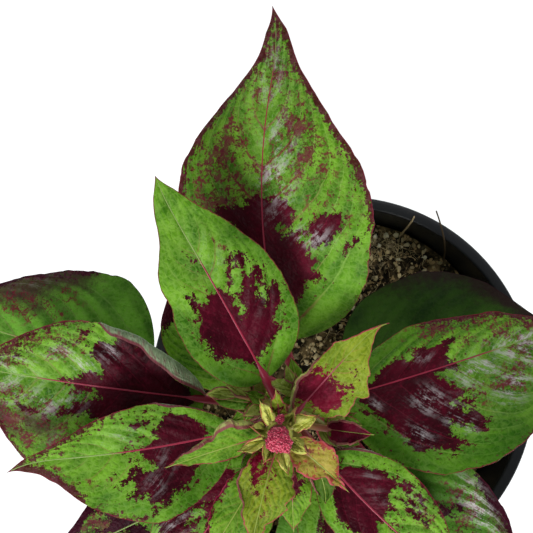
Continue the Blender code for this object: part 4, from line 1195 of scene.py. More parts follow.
class Leaf:
    """A stalk and a blade: where its midrib runs, which way it faces and any point of its surface."""

    STEPS = 64
    STALK_STEPS = 12

    def __init__(self, root, spec, marks, seed):
        self.spec = {**LEAF_DEFAULTS, **spec}
        self.marks = {**PLAIN_MARKS, **marks}
        self.length, self.width = self.spec["size"]
        self.root = np.asarray(root, float)
        self.seed = seed
        spots = [self.stalk(1.0)[0]]
        for k in range(self.STEPS):
            forward = self.along(np.array((k + 0.5) / self.STEPS))
            spots.append(spots[-1] + forward * self.length / self.STEPS)
        self.line = np.array(spots)

    def stalk(self, u):
        """Point and direction at u along the stalk, which bends from its own pitch to the blade's."""
        first, last = self.spec["petiole_pitch"], self.spec["pitch"][0]
        point = self.root.copy()
        for k in range(self.STALK_STEPS):
            pitch = first + (last - first) * u * (k + 0.5) / self.STALK_STEPS
            forward = heading(self.spec["azimuth"], pitch)
            point = point + forward * self.spec["petiole"] * u / self.STALK_STEPS
        return point, heading(self.spec["azimuth"], first + (last - first) * u)

    def bearing(self, t):
        """Azimuth of the midrib at t."""
        bend = np.maximum(0.0, (t - HOOK_START) / (1 - HOOK_START)) ** 2
        return self.spec["azimuth"] + self.spec["turn"] * t + self.spec["hook"] * bend

    def along(self, t):
        """Direction of the midrib at t."""
        low, high = self.spec["pitch"]
        return heading(self.bearing(t), low + (high - low) * t)

    def midrib(self, t):
        """Point of the midrib at t."""
        at = t * (len(self.line) - 1)
        knots = np.arange(len(self.line))
        return np.stack([np.interp(at, knots, axis) for axis in self.line.T], axis=-1)

    def facing(self, t):
        """Directions to the left of the midrib and out of the blade's upper face."""
        along = self.along(t)
        azimuth = np.radians(self.bearing(t))
        level = np.stack([-np.sin(azimuth), np.cos(azimuth), 0 * azimuth], axis=-1)
        roll = math.radians(self.spec["roll"])
        left = level * math.cos(roll) + np.cross(along, level) * math.sin(roll)
        return left, np.cross(along, left)

    def half_width(self, t, side):
        """Half width on a side, with its teeth, its uneven edge and the bumps that the marks give it."""
        saw = self.spec["teeth"] * t % 1.0
        saw = np.where(saw < TOOTH_TOP, saw, (1 - saw) * TOOTH_TOP / (1 - TOOTH_TOP))
        notch = 1 - self.spec["tooth"] * saw
        wander = ripple(t * self.length * 0.35, self.seed + (side > 0) * 11)
        uneven = 1 + self.marks["ragged"] * wander * smooth_step(t / 0.2)
        for bump_side, middle, spread, amount in self.marks["bumps"]:
            uneven = uneven + np.where(side == bump_side, amount * np.exp(-(((t - middle) / spread) ** 2)), 0)
        tip = self.spec["tip"] * smooth_step((t - 0.8) / 0.13) * np.minimum(1.0, (1 - t) / 0.08)
        lean = 1 + self.spec["lean"] * side
        return self.width / 2 * half_outline(t, self.spec) * notch * uneven * lean + tip

    def half_at(self, t, v):
        """Half width on the side that v is on."""
        return np.where(v >= 0, self.half_width(t, 1), self.half_width(t, -1))

    def vein_place(self, t, v):
        """How many secondary veins lie between the blade's base and a point: they arch towards the tip."""
        reach = np.abs(v)
        first, second, sixth = VEIN_ARCH
        place = t - first * reach - second * reach ** 2 - sixth * reach ** 6
        place = np.where(place < 0, 0.3 * place, place)
        return place / VEIN_SPACING

    def relief(self, t, v):
        """How far the blade bulges between its veins."""
        reach = np.abs(v)
        place = self.vein_place(t, v)
        arch = np.abs(np.sin(np.pi * place)) ** 0.8
        fade = smooth_step(reach / 0.18) * (1 - 0.9 * smooth_step((reach - 0.5) / 0.4))
        fade = fade * smooth_step(t / 0.12) * smooth_step((1 - t) / 0.6) ** 1.5
        groove = GROOVE_DEPTH * np.exp(-((reach * self.width / 2 / GROOVE_WIDTH) ** 2)) * smooth_step(t / 0.1)
        scale = min(1.0, self.width / FULL_RELIEF_WIDTH)
        arch = arch * (0.7 + 0.45 * ripple(place * 0.8 + 2.4 * v, self.seed + 41, 2))
        low = ripple(place * 1.3 + 3 * v, self.seed + 31, 2) * smooth_step(reach / 0.4) * 0.5
        return self.marks["quilt"] * scale * (BULGE * (arch - 0.6) * fade - groove) + low * scale * fade

    def surface(self, t, v):
        """The blade's middle layer at t along it and v across it, from -1 at its right edge to 1."""
        left, up = self.facing(t)
        side = np.where(v >= 0, 1.0, -1.0)
        half = self.half_at(t, v)
        start = np.ones_like(t)
        for roll_side, course in self.marks["rolls"].items():
            found = np.interp(t, [p[0] for p in course], [p[1] for p in course])
            found = found + ROLL_WANDER * ripple(0.3 * t * self.length, self.seed + 3, 3) * (found < 0.95)
            start = np.where(side == roll_side, np.clip(found, 0.1, 1.0), start)
        # Past its start a rolled margin follows an arc up and back over the blade.
        share = np.clip((np.abs(v) - start) / np.maximum(1 - start, 1e-3), 0, 1)
        arc = share * math.radians(ROLL_TURN)
        rolled = start + (1 - start) * np.sin(arc)
        reach = np.where(np.abs(v) > start, rolled, np.abs(v)) * half
        curl_up = np.where(np.abs(v) > start, ROLL_LIFT * (1 - start) * half * (1 - np.cos(arc)), 0)
        flat = np.minimum(np.abs(v), 1.0)
        angle = np.radians(self.spec["fold"] + self.spec["curl"] * flat / 2)
        swing = np.sin(2 * np.pi * (self.spec["waves"] * t + self.spec["phase"] + 0.25 * side))
        frill = FRILL * ripple(t * self.length * 0.5, self.seed + 5 + 7 * (self.spec["roll"] > 0))
        broad = np.minimum(1.0, 4 * half / self.width)
        lift = (self.spec["wave"] * v * v * swing + frill * flat ** 4) * broad
        lift = lift + self.relief(t, v) + curl_up
        fold = ripple(0.55 * t * self.length + 2.6 * np.sin(2.1 * v + self.seed), self.seed + 17, 3)
        lift = lift + self.marks["crumple"] * fold * smooth_step(flat / 0.35) * smooth_step(t / 0.12)
        return (
            self.midrib(t)
            + left * (side * reach * np.cos(angle))[..., None]
            + up * (reach * np.sin(angle) + lift)[..., None]
        )


def inside_reach(points, outline):
    """Distance of each point from an outline, more than nothing inside it."""
    corners = np.asarray(outline)
    following = np.roll(corners, -1, axis=0)
    near = np.full(len(points), 1e9)
    crossings = np.zeros(len(points), int)
    for a, b in zip(corners, following):
        run = b - a
        at = np.clip(((points - a) @ run) / max(run @ run, 1e-12), 0, 1)
        near = np.minimum(near, np.linalg.norm(points - a - at[:, None] * run, axis=1))
        if a[1] != b[1]:
            spans = (points[:, 1] < a[1]) != (points[:, 1] < b[1])
            meet = a[0] + (points[:, 1] - a[1]) * run[0] / run[1]
            crossings += spans & (points[:, 0] < meet)
    return np.where(crossings % 2 == 1, near, -near)


def ellipse_reach(t, v, spot, length, half):
    """Distance of each point from an ellipse, more than nothing inside it."""
    middle_t, middle_v, long, wide = spot
    apart = np.hypot((t - middle_t) / long, (v - middle_v) / wide)
    return (1 - apart) * min(long * length, wide * half)


def fringed(reach):
    """The reach, falling off less and less past a dark area's outline."""
    return np.where(reach < 0, -FRINGE * np.maximum(-reach, 0) ** FRINGE_POWER, reach)


def blotch_reach(leaf, t, v):
    """How far a point lies inside the dark areas, in millimetres."""
    half = leaf.width / 2
    scale = np.array([leaf.length, half])
    points = np.stack([t, v], axis=1) * scale
    reach = np.full(len(t), FAR_OUTSIDE)
    for outline in leaf.marks["patches"]:
        reach = np.maximum(reach, inside_reach(points, np.asarray(outline) * scale))
    for spot in leaf.marks["spots"]:
        reach = np.maximum(reach, ellipse_reach(t, v, spot, leaf.length, half))
    for t0, v0, t1, v1, thick in leaf.marks["bars"]:
        a, b = np.array([t0, v0]) * scale, np.array([t1, v1]) * scale
        at = np.clip(((points - a) @ (b - a)) / ((b - a) @ (b - a)), 0, 1)
        reach = np.maximum(reach, thick - np.linalg.norm(points - a - at[:, None] * (b - a), axis=1))
    for spot in leaf.marks["islands"]:
        reach = np.minimum(reach, -ellipse_reach(t, v, spot, leaf.length, half))
    return fringed(reach)


def band_reach(leaf, t, v, half):
    """How far a point lies inside the dark bands along the margins, in millimetres."""
    reach = np.full(len(t), FAR_OUTSIDE)
    for side, first, last, width in leaf.marks["bands"]:
        there = smooth_step((t - first) / 0.12) * (1 - smooth_step((t - last) / 0.05))
        inside = width * there - (1 - np.abs(v)) * half - 1.5 * (1 - there)
        reach = np.where(v * side >= 0, np.maximum(reach, inside), reach)
    return fringed(reach)


def clouds(t, v, groups):
    """The strongest of some soft clouds at each point."""
    total = np.zeros_like(t)
    for middle_t, middle_v, long, wide, strength in groups:
        apart = ((t - middle_t) / long) ** 2 + ((v - middle_v) / wide) ** 2
        total = np.maximum(total, strength * np.exp(-apart))
    return total


def add_leaf(body, leaf, grid, stalk_sides=STALK_SIDES, slots=(0, 1, 2)):
    """One leaf's blade, stalk and midrib, as closed shells."""
    rows, columns = grid
    k = np.linspace(0, 1, rows)
    stations = 0.004 + 0.994 * (0.6 * k + 0.4 * (1 - np.cos(np.pi * k)) / 2)
    u = np.linspace(1, -1, columns)
    across = 0.75 * u + 0.25 * np.sin(u * np.pi / 2)
    t, v = np.meshgrid(stations, across, indexing="ij")
    middle = leaf.surface(t, v)
    _, up = leaf.facing(t)
    normal = np.cross(np.gradient(middle, axis=1), np.gradient(middle, axis=0))
    small = np.linalg.norm(normal, axis=-1, keepdims=True) < 1e-5
    normal = np.where(small, up, unit(normal))
    thick = (BLADE_EDGE + (BLADE - BLADE_EDGE) * (1 - v ** 2)) * np.minimum(1, 0.3 + 4 * (1 - t))
    offset = normal * thick[..., None] / 2
    points = np.concatenate([(middle + offset).reshape(-1, 3), (middle - offset).reshape(-1, 3)])

    t, v = t.ravel(), v.ravel()
    half = leaf.half_at(t, v)
    reach = np.abs(v)
    layer = np.full(len(t), leaf.seed * LAYER_STEP)
    flow = np.stack([leaf.vein_place(t, v), v * leaf.width / 2, layer], axis=1)
    sheet = np.stack([t * leaf.length, v * half, layer], axis=1)
    uv = np.stack([t, v / 2 + 0.5], axis=1)
    values = {name: clouds(t, v, leaf.marks[name]) for name in CLOUDS}
    inner = 1 - smooth_step((reach - 0.3) / 0.4)
    values.update(
        blotch=blotch_reach(leaf, t, v),
        band=band_reach(leaf, t, v, half),
        flush=leaf.marks["flush"] * inner * (1 - smooth_step((t - 0.6) / 0.2)),
        dusk=leaf.marks["dusk"],
        margin=(1 - reach) * half / leaf.marks["rim"],
        vein=leaf.marks["veins"] * smooth_step(reach / 0.06) * (1 - 0.7 * smooth_step((reach - 0.7) / 0.3)),
    )
    both = {key: np.tile(np.broadcast_to(value, len(t)), 2) for key, value in values.items()}
    top, bottom, rim = sheet_faces(rows, columns)
    faces = np.concatenate([top, bottom, rim])
    looks = np.repeat([slots[0], slots[1], slots[0]], [len(top), len(bottom), len(rim)])
    body.add(points, faces, looks, np.tile(flow, (2, 1)), np.tile(uv, (2, 1)), np.tile(sheet, (2, 1)), **both)
    add_stalk(body, leaf, stalk_sides, rows, slots[2])


def add_stalk(body, leaf, sides, rows, look):
    """The stalk, which runs on under the blade as its midrib and shows a little above it."""
    radius = leaf.spec["petiole_radius"]
    left, _ = leaf.facing(np.array(0.0))
    free_shares = np.linspace(0, 0.94, STALK_RINGS)
    foot = [leaf.stalk(u) for u in free_shares]
    centres = [centre for centre, _ in foot]
    lefts = [left for _ in foot]
    ups = [np.cross(along, left) for _, along in foot]
    t = np.linspace(0.0, 0.975, max(STALK_SIDES, rows // 3))
    side, up = leaf.facing(t)
    thin = radius * (0.12 + 0.48 * (1 - t) ** 1.9)
    sink = smooth_step(t / 0.09)
    sunk = leaf.surface(t, np.zeros_like(t)) + up * (BLADE / 2 + RIB_PROUD - thin)[:, None]
    centres = np.concatenate([centres, leaf.midrib(t) * (1 - sink)[:, None] + sunk * sink[:, None]])
    lefts = np.concatenate([lefts, side])
    ups = np.concatenate([ups, up])
    radii = np.concatenate([radius * (1.08 - 0.12 * free_shares), radius * 0.96 * (1 - sink) + thin * sink])
    fade = 1 - smooth_step((t - leaf.marks["blush"] * 0.75) / 0.2)
    flushed = min(1.0, 0.35 + leaf.marks["blush"])
    blush = flushed * np.concatenate([np.linspace(0.6, 0.95, STALK_RINGS), fade])
    tube(body, centres, lefts, ups, radii, sides, looks=look, blush=blush)


def stem_point(z):
    """The middle of the stem at a height."""
    x, y = (np.interp(z, STEM_LINE[:, 2], STEM_LINE[:, axis]) for axis in (0, 1))
    return np.array([x, y, z])


def stem_radius(z):
    """The stem's radius at a height."""
    return float(np.interp(z, STEM_LINE[:, 2], STEM_LINE[:, 3]))


def stem_root(z, azimuth):
    """Where a stalk's foot stands in the part's frame, just clear of the stem."""
    return stem_point(z) + (stem_radius(z) + STALK_CLEAR) * heading(azimuth, 0)


def finish_piece(obj, node):
    """Puts a piece on the root body and hides the part's node that it replaces."""
    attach(obj, "root")
    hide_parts(node)


def make_leaf(name, spec, looks, seed, grid):
    """One leaf of the part with its own marks."""
    body = Body()
    marks = MARKS.get(name, dict(patches=(BASE_PATCH,)))
    add_leaf(body, Leaf(stem_root(spec["z"], spec["azimuth"]), spec, marks, seed), grid)
    finish_piece(body.object(name + "_fine", looks, LEAF_VALUES), name)


def leaflet(azimuth, pitch, size, **more):
    """What a leaflet is built from."""
    return {**LEAFLET_DEFAULTS, "azimuth": azimuth, "pitch": pitch, "size": size, **more}


def make_shoot(name, spec, looks, seed):
    """A side shoot: a short stalk with the part's leaflets and smaller crumpled ones between them."""
    z, azimuth, length, pitch, leaflets = spec
    root = stem_root(z, azimuth)
    along = heading(azimuth, pitch)
    left = np.cross((0, 0, 1), heading(azimuth, 0))
    body = Body()
    shares = np.linspace(0, 1, SHOOT_RINGS)
    centres = root + along * (length * shares)[:, None]
    lefts = np.tile(left, (SHOOT_RINGS, 1))
    ups = np.tile(np.cross(along, left), (SHOOT_RINGS, 1))
    tube(body, centres, lefts, ups, SHOOT_RADIUS * (1 - 0.35 * shares), looks=2, blush=0.35)
    for k, (turned, steep, long, wide) in enumerate(leaflets):
        at = root + along * length * (0.55 + 0.4 * k / (len(leaflets) - 1))
        side = 1 - 2 * (k % 2)
        marks = {**LEAFLET_MARKS, "rolls": {side: LEAFLET_ROLL}}
        leaf = Leaf(at, leaflet(turned, (steep, steep - 30), (long, wide)), marks, seed + k)
        add_leaf(body, leaf, LEAFLET_GRID, LEAFLET_STALK_SIDES, (3 * (k % 2), 1, 2))
    for k, (share, turned, stalk, pitches, size, turn, fresh) in enumerate(EXTRA_LEAFLETS[name]):
        side = 2 * (k % 2) - 1
        # Every extra leaflet gets a little painted shade, and those of look 2 more.
        marks = {**LEAFLET_MARKS, "rolls": {side: EXTRA_ROLL}, "dusk": 0.5 if fresh == 2 else 0.1}
        shape = leaflet(turned, pitches, size, petiole=stalk, turn=turn, **EXTRA_SHAPE)
        leaf = Leaf(root + along * length * share, shape, marks, seed + 20 + k)
        add_leaf(body, leaf, EXTRA_GRID, LEAFLET_STALK_SIDES, (3 * min(fresh, 1), 1, 2))
    finish_piece(body.object(name + "_fine", looks, LEAF_VALUES), name)


def make_stem(looks):
    """The stem with shallow ribs, swollen a little where a stalk leaves it."""
    z = np.concatenate([np.linspace(60, 84, 8), np.linspace(85, 170, 150)])
    centres = np.array([stem_point(value) for value in z])
    tangents = unit(np.gradient(centres, axis=0))
    side = unit(np.cross(tangents, (0.0, 1.0, 0.0)))
    front = np.cross(tangents, side)
    angles = turns(STEM_SIDES)
    ribs = np.cos(STEM_RIBS * angles)
    offsets = np.cos(angles)[:, None] * side[:, None, :] + np.sin(angles)[:, None] * front[:, None, :]
    reach = np.array([stem_radius(value) for value in z])[:, None] * (1 - STEM_RIB_DEPTH / 2 * (1 - ribs))
    for spec in (*LEAVES.values(), *YOUNG_LEAVES.values()):
        near = np.exp(-(((z - spec["z"]) / SWELL_HEIGHT) ** 2))[:, None]
        reach = reach + SWELL * near * np.clip(offsets @ heading(spec["azimuth"], 0), 0, 1) ** 4
    points = centres[:, None, :] + offsets * reach[..., None]
    points = np.concatenate([points.reshape(-1, 3), centres[[0, -1]]])
    rows = len(z)
    height = np.repeat(z, STEM_SIDES)
    flow = np.stack([np.tile(np.arange(STEM_SIDES) / 8, rows), height * 0.2, np.zeros(len(height))], axis=1)
    flow = np.concatenate([flow, np.zeros((2, 3))])
    blush = 0.25 + 0.35 * smooth_step((height - 120) / 50) + 0.2 * np.tile(ribs, rows)
    blush = np.concatenate([blush, [0.3, 0.3]])
    body = Body()
    faces = closed_faces(rows, STEM_SIDES, inward=True)
    body.add(points, faces, flow=flow, uv=flow[:, :2] * 0.1, blush=blush)
    finish_piece(body.object("stem_fine", looks, ("blush",)), "stem")


def make_bracts(looks):
    """The collar round the stem's tip and the small pointed leaves on it."""
    centre = stem_point(STEM_LINE[-1][2] - BRACT_DROP)
    middle = stem_radius(centre[2]) + 2 * GAP + COLLAR_WIDTH / 2
    body = Body()
    around, section = turns(COLLAR_TURNS), turns(COLLAR_SIDES)[:, None]
    outward = np.stack([np.cos(around), np.sin(around), 0 * around], axis=1)[:, None, :]
    rise = np.array([0, 0, COLLAR_HEIGHT / 2]) * np.sin(section)
    points = centre + outward * (middle + COLLAR_WIDTH / 2 * np.cos(section)) + rise
    faces = np.array(ring_faces(COLLAR_TURNS + 1, COLLAR_SIDES, inward=True)) % (COLLAR_TURNS * COLLAR_SIDES)
    body.add(points, faces, 2, blush=0.3)
    for k, (azimuth, pitch, length, width) in enumerate(BRACTS):
        shape = leaflet(azimuth, pitch, (length, width), petiole=1.0)
        marks = {**LEAFLET_MARKS, **BRACT_MARKS, **(SHADED_BRACT_MARKS if k % 2 else {})}
        leaf = Leaf(centre + heading(azimuth, 0) * middle, shape, marks, BRACT_SEED + k)
        add_leaf(body, leaf, BRACT_GRID, LEAFLET_STALK_SIDES)
    finish_piece(body.object("bracts_fine", looks, LEAF_VALUES), "bracts")


# Crest


def ball(subdivisions):
    """Points and faces of a ball of radius 1."""
    build = bmesh.new()
    bmesh.ops.create_icosphere(build, subdivisions=subdivisions, radius=1.0)
    points = np.array([vertex.co[:] for vertex in build.verts])
    faces = np.array([[vertex.index for vertex in face.verts] for face in build.faces])
    build.free()
    return points, faces


def turned_to(points, out, spin=0.0):
    """Points with their +Z turned to a direction."""
    side = unit(np.cross(out, (0.31, 0.17, 0.94)))
    front = np.cross(out, side)
    c, s = math.cos(spin), math.sin(spin)
    x = points[:, 0] * c - points[:, 1] * s
    y = points[:, 0] * s + points[:, 1] * c
    return x[:, None] * side + y[:, None] * front + points[:, 2:3] * out


def spiral(k, count, span):
    """Height, turn and distance from the axis of a place on a ball's spiral, counted down from the top."""
    rise = 1 - span * (k + 0.5) / count
    return rise, math.radians(GOLDEN_ANGLE * k), math.sqrt(max(0.0, 1 - rise ** 2))


def crest_lumps(rng):
    """Each lump of the part's crest as a core with smaller lumps all over it (x, y, z, radius)."""
    lumps = []
    for *middle, radius in CREST_LUMPS:
        lumps.append((*middle, CREST_CORE * radius))
        count = max(5, round(SMALL_LUMPS * radius ** 2))
        for k in range(count):
            rise, turn, flat = spiral(k, count, 1.5)
            small = radius * rng.uniform(0.2, 0.36)
            reach = radius + rng.uniform(-0.2, 0.35) - small
            out = np.array([flat * math.cos(turn), flat * math.sin(turn), rise])
            lumps.append((*(middle + reach * out), small))
    return np.array(lumps)


def make_crest(looks):
    """A short neck and lumps covered in close velvety buds."""
    rng = np.random.default_rng(CREST_SEED)
    tip = stem_point(STEM_LINE[-1][2])
    centre = tip + np.array([0.0, 0.0, CREST_RISE])
    body = Body()
    shares = np.linspace(2 * GAP, CREST_RISE - 1.0, NECK_RINGS)
    centres = tip + shares[:, None] * np.array([0, 0, 1.0])
    lefts, fronts = np.tile((1.0, 0, 0), (NECK_RINGS, 1)), np.tile((0, 1.0, 0), (NECK_RINGS, 1))
    tube(body, centres, lefts, fronts, np.full(NECK_RINGS, NECK_RADIUS), 16, looks=1, blush=0.8)
    smooth_ball, smooth_faces = ball(3)
    bud, bud_faces = ball(1)
    lumps = crest_lumps(rng)
    area = np.sum(lumps[:, 3] ** 2)
    for *lump, radius in lumps:
        middle = centre + lump
        body.add(middle + smooth_ball * (radius - 0.08), smooth_faces, shade=0.05)
        count = round(CREST_BUDS * radius ** 2 / area)
        for k in range(count):
            rise, turn, flat = spiral(k, count, 1.75)
            turn += rng.uniform(-0.25, 0.25)
            out = np.array([flat * math.cos(turn), flat * math.sin(turn), rise])
            out = unit(out + rng.normal(0, 0.12, 3))
            at = middle + out * (radius + rng.uniform(-0.1, 0.12))
            apart = np.linalg.norm(lumps[:, :3] + centre - at, axis=1)
            if np.any(apart < lumps[:, 3] - 0.2):
                continue
            size = rng.uniform(0.12, 0.24)
            shape = bud * (size, size, size * rng.uniform(1.1, 2.2))
            shade = rng.uniform(0, 1)
            body.add(at + turned_to(shape, out), bud_faces, shade=shade, tip=(bud[:, 2] + 1) / 2)
    finish_piece(body.object("crest_fine", looks, CREST_VALUES, sharp=80), "crest")


# Soil


def soil_rise(x, y):
    """The part's own soil surface over its level: low ripples, and lower near the wall."""
    radius = np.hypot(x, y)
    lumps = sum(share * np.sin(a * x + b * y + phase) for a, b, phase, share in SOIL_RIPPLES)
    outward = (radius - SOIL_EDGE_START) / (SOIL_EDGE_END - SOIL_EDGE_START)
    return SOIL_LUMP * lumps - SOIL_EDGE_DROP * smooth_step(outward)


def rough(x, y, seed):
    """Fine unevenness of loose peat, in millimetres."""
    rng = np.random.default_rng(seed)
    total = np.zeros_like(x)
    for octave in range(5):
        rate = 0.45 * 1.9 ** octave
        for _ in range(3):
            turn = rng.uniform(0, 2 * np.pi)
            along = x * math.cos(turn) + y * math.sin(turn)
            across = y * math.cos(turn) - x * math.sin(turn)
            wave = np.sin(rate * along + rng.uniform(0, ANY_TURN))
            total += wave * np.sin(rate * 0.9 * across + rng.uniform(0, ANY_TURN)) / 1.5 ** octave
    return 0.5 * total


def wall_outside(z):
    """Outer radius of the pot's wall at a height."""
    return BASE_RADIUS + (RIM_RADIUS - RIM_LIP + WALL - BASE_RADIUS) * z / POT_HEIGHT


def wall_inside(z):
    """Inner radius of the pot's wall at a height."""
    return wall_outside(z) - WALL


def soil_height(x, y):
    """The fine soil's height: calmer near the wall and the stem, and heaped at one place."""
    radius = np.hypot(x, y)
    calm = 1 - 0.6 * smooth_step((radius - 47) / 4)
    foot_x, foot_y = STEM_LINE[0][:2]
    calm = calm * smooth_step((np.hypot(x - foot_x, y - foot_y) - 3.0) / 4.0)
    heap_x, heap_y, spread, rise = HEAP
    heap = rise * np.exp(-(((x - heap_x) ** 2 + (y - heap_y) ** 2) / spread ** 2))
    return SOIL_LEVEL + soil_rise(x, y) + rough(x, y, 5) * calm + heap


def make_soil(look):
    """The body of soil, with a plain hole round the stem's foot."""
    foot = STEM_LINE[0][:2]
    hole = stem_radius(SOIL_LEVEL) + 2 * GAP
    edge = wall_inside(SOIL_LEVEL - SOIL_EDGE_DROP - 2 * SOIL_LUMP) - GAP
    floor = BASE_PLATE + RECESS + GAP
    hole_floor = STEM_LINE[0][2] - GAP
    share = np.linspace(0, 1, SOIL_RINGS)[:, None, None]
    angles = turns(SOIL_SECTORS)
    directions = np.stack([np.cos(angles), np.sin(angles)], axis=1)
    inner = foot + hole * directions
    flat = inner * (1 - share) + edge * directions * share

    def ring(places, height):
        return np.concatenate([places, np.full((SOIL_SECTORS, 1), height)], axis=1)[None]

    top = np.concatenate([flat, soil_height(flat[..., 0], flat[..., 1])[..., None]], axis=2)
    low = ring((wall_inside(floor) - GAP) * directions, floor)
    rings = np.concatenate([ring(inner, hole_floor), top, low])
    points = np.concatenate([rings.reshape(-1, 3), [[*foot, hole_floor], [0, 0, floor]]])
    body = Body()
    body.add(points, closed_faces(len(rings), SOIL_SECTORS, inward=True), uv=points[:, :2] * 0.005 + 0.5)
    finish_piece(body.object("soil_fine", [look], (), sharp=80), "soil")


def scattered(rng, count, inner, outer):
    """Places (x, y) spread evenly over a ring."""
    radius = np.sqrt(rng.uniform(inner ** 2, outer ** 2, count))
    turn = rng.uniform(0, 2 * np.pi, count)
    return radius * np.cos(turn), radius * np.sin(turn)


def lay_on_soil(body, name, look, sharp):
    """Makes a piece of the loose bits."""
    obj = body.object(name, [look], GRAIN_VALUES, sharp=sharp)
    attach(obj, "root")


def make_crumbs(name, look, seed, count, sizes, spots=()):
    """Loose lumps that lie half sunk on the soil, some of them at given spots."""
    rng = np.random.default_rng(seed)
    shape, faces = ball(1)
    body = Body()
    x, y = scattered(rng, count, 7.0, CRUMBS_OUTER)
    for k, spot in enumerate(spots):
        x[k], y[k] = spot
    z = soil_height(x, y)
    for k in range(count):
        size = rng.uniform(*sizes) if rng.uniform() < 0.85 else sizes[1] * rng.uniform(1.0, 1.25)
        bumpy = shape * (1 + rng.normal(0, 0.26, (len(shape), 1)))
        stretched = bumpy * (size, size * rng.uniform(0.6, 1.0), size * rng.uniform(0.6, 1.0))
        out = unit(np.array([rng.normal(0, 0.3), rng.normal(0, 0.3), 1.0]))
        at = np.array([x[k], y[k], z[k] + size * CRUMB_LIFT])
        body.add(at + turned_to(stretched, out, rng.uniform(0, ANY_TURN)), faces, shade=rng.uniform(0, 1))
    lay_on_soil(body, name, look, 40)


def thin_tube(body, centres, across, radii, sides, shade):
    """A fibre or straw along its centres, which never run in the direction across."""
    along = unit(np.gradient(centres, axis=0))
    side = unit(np.cross(along, across))
    tube(body, centres, -side, np.cross(side, along), radii, sides, shade=shade)


def strand(body, start, turn, length, radius, rng, lift):
    """A bent fibre that lies on the soil."""
    points = [np.array(start)]
    bend = rng.normal(0, 0.06)
    for _ in range(STRAND_RINGS - 1):
        bend += rng.normal(0, 0.04)
        turn += bend
        points.append(points[-1] + np.array([math.cos(turn), math.sin(turn)]) * length / (STRAND_RINGS - 1))
    flat = np.array(points)
    arch = np.sin(np.linspace(0, np.pi, STRAND_RINGS)) * rng.uniform(0, lift)
    z = soil_height(flat[:, 0], flat[:, 1]) + radius * 0.6 + arch
    z = np.convolve(np.pad(z, 1, mode="edge"), np.ones(3) / 3, mode="valid") + 0.15
    centres = np.concatenate([flat, z[:, None]], axis=1)
    radii = radius * (1 - 0.5 * np.linspace(0, 1, STRAND_RINGS) ** 2)
    thin_tube(body, centres, (0.0, 0.0, 1.0), radii, 5, rng.uniform(0, 1))


def make_fibres(name, look, seed, count, lengths, radii, lift, heaped=False):
    """Fibres all over the soil, or crowded on its heap."""
    rng = np.random.default_rng(seed)
    body = Body()
    x, y = scattered(rng, count, 8.0, FIBRES_OUTER - lengths[1] / 3)
    if heaped:
        x, y = rng.normal(HEAP[0], HEAP[2] * 0.7, count), rng.normal(HEAP[1], HEAP[2] * 0.5, count)
        inward = np.minimum(1.0, (FIBRES_OUTER - lengths[1] / 2) / np.hypot(x, y))
        x, y = x * inward, y * inward
    for start in zip(x, y):
        strand(body, start, rng.uniform(0, ANY_TURN), rng.uniform(*lengths), rng.uniform(*radii), rng, lift)
    lay_on_soil(body, name, look, 60)


def make_straws(look):
    """The straws that lean on the rim."""
    body = Body()
    share = np.linspace(0, 1, 14)[:, None]
    for (x, y), lip, end, radius, shade in RIM_STRAWS:
        foot = np.array([x, y, float(soil_height(x, y)) - 1.0])
        bend = 2 * np.array(lip) - (foot + end) / 2
        centres = (1 - share) ** 2 * foot + 2 * share * (1 - share) * bend + share ** 2 * np.array(end)
        thin_tube(body, centres, (1.0, 0.0, 0.0), radius * (1 - 0.3 * share[:, 0]), 6, shade)
    lay_on_soil(body, "rim_straws", look, 60)


# Pot


def arc(centre, radius, first, last, steps):
    """Points (radius, height) of an arc in the section plane."""
    angles = np.radians(np.linspace(first, last, steps))
    return [(centre[0] + radius * math.cos(a), centre[1] + radius * math.sin(a)) for a in angles]


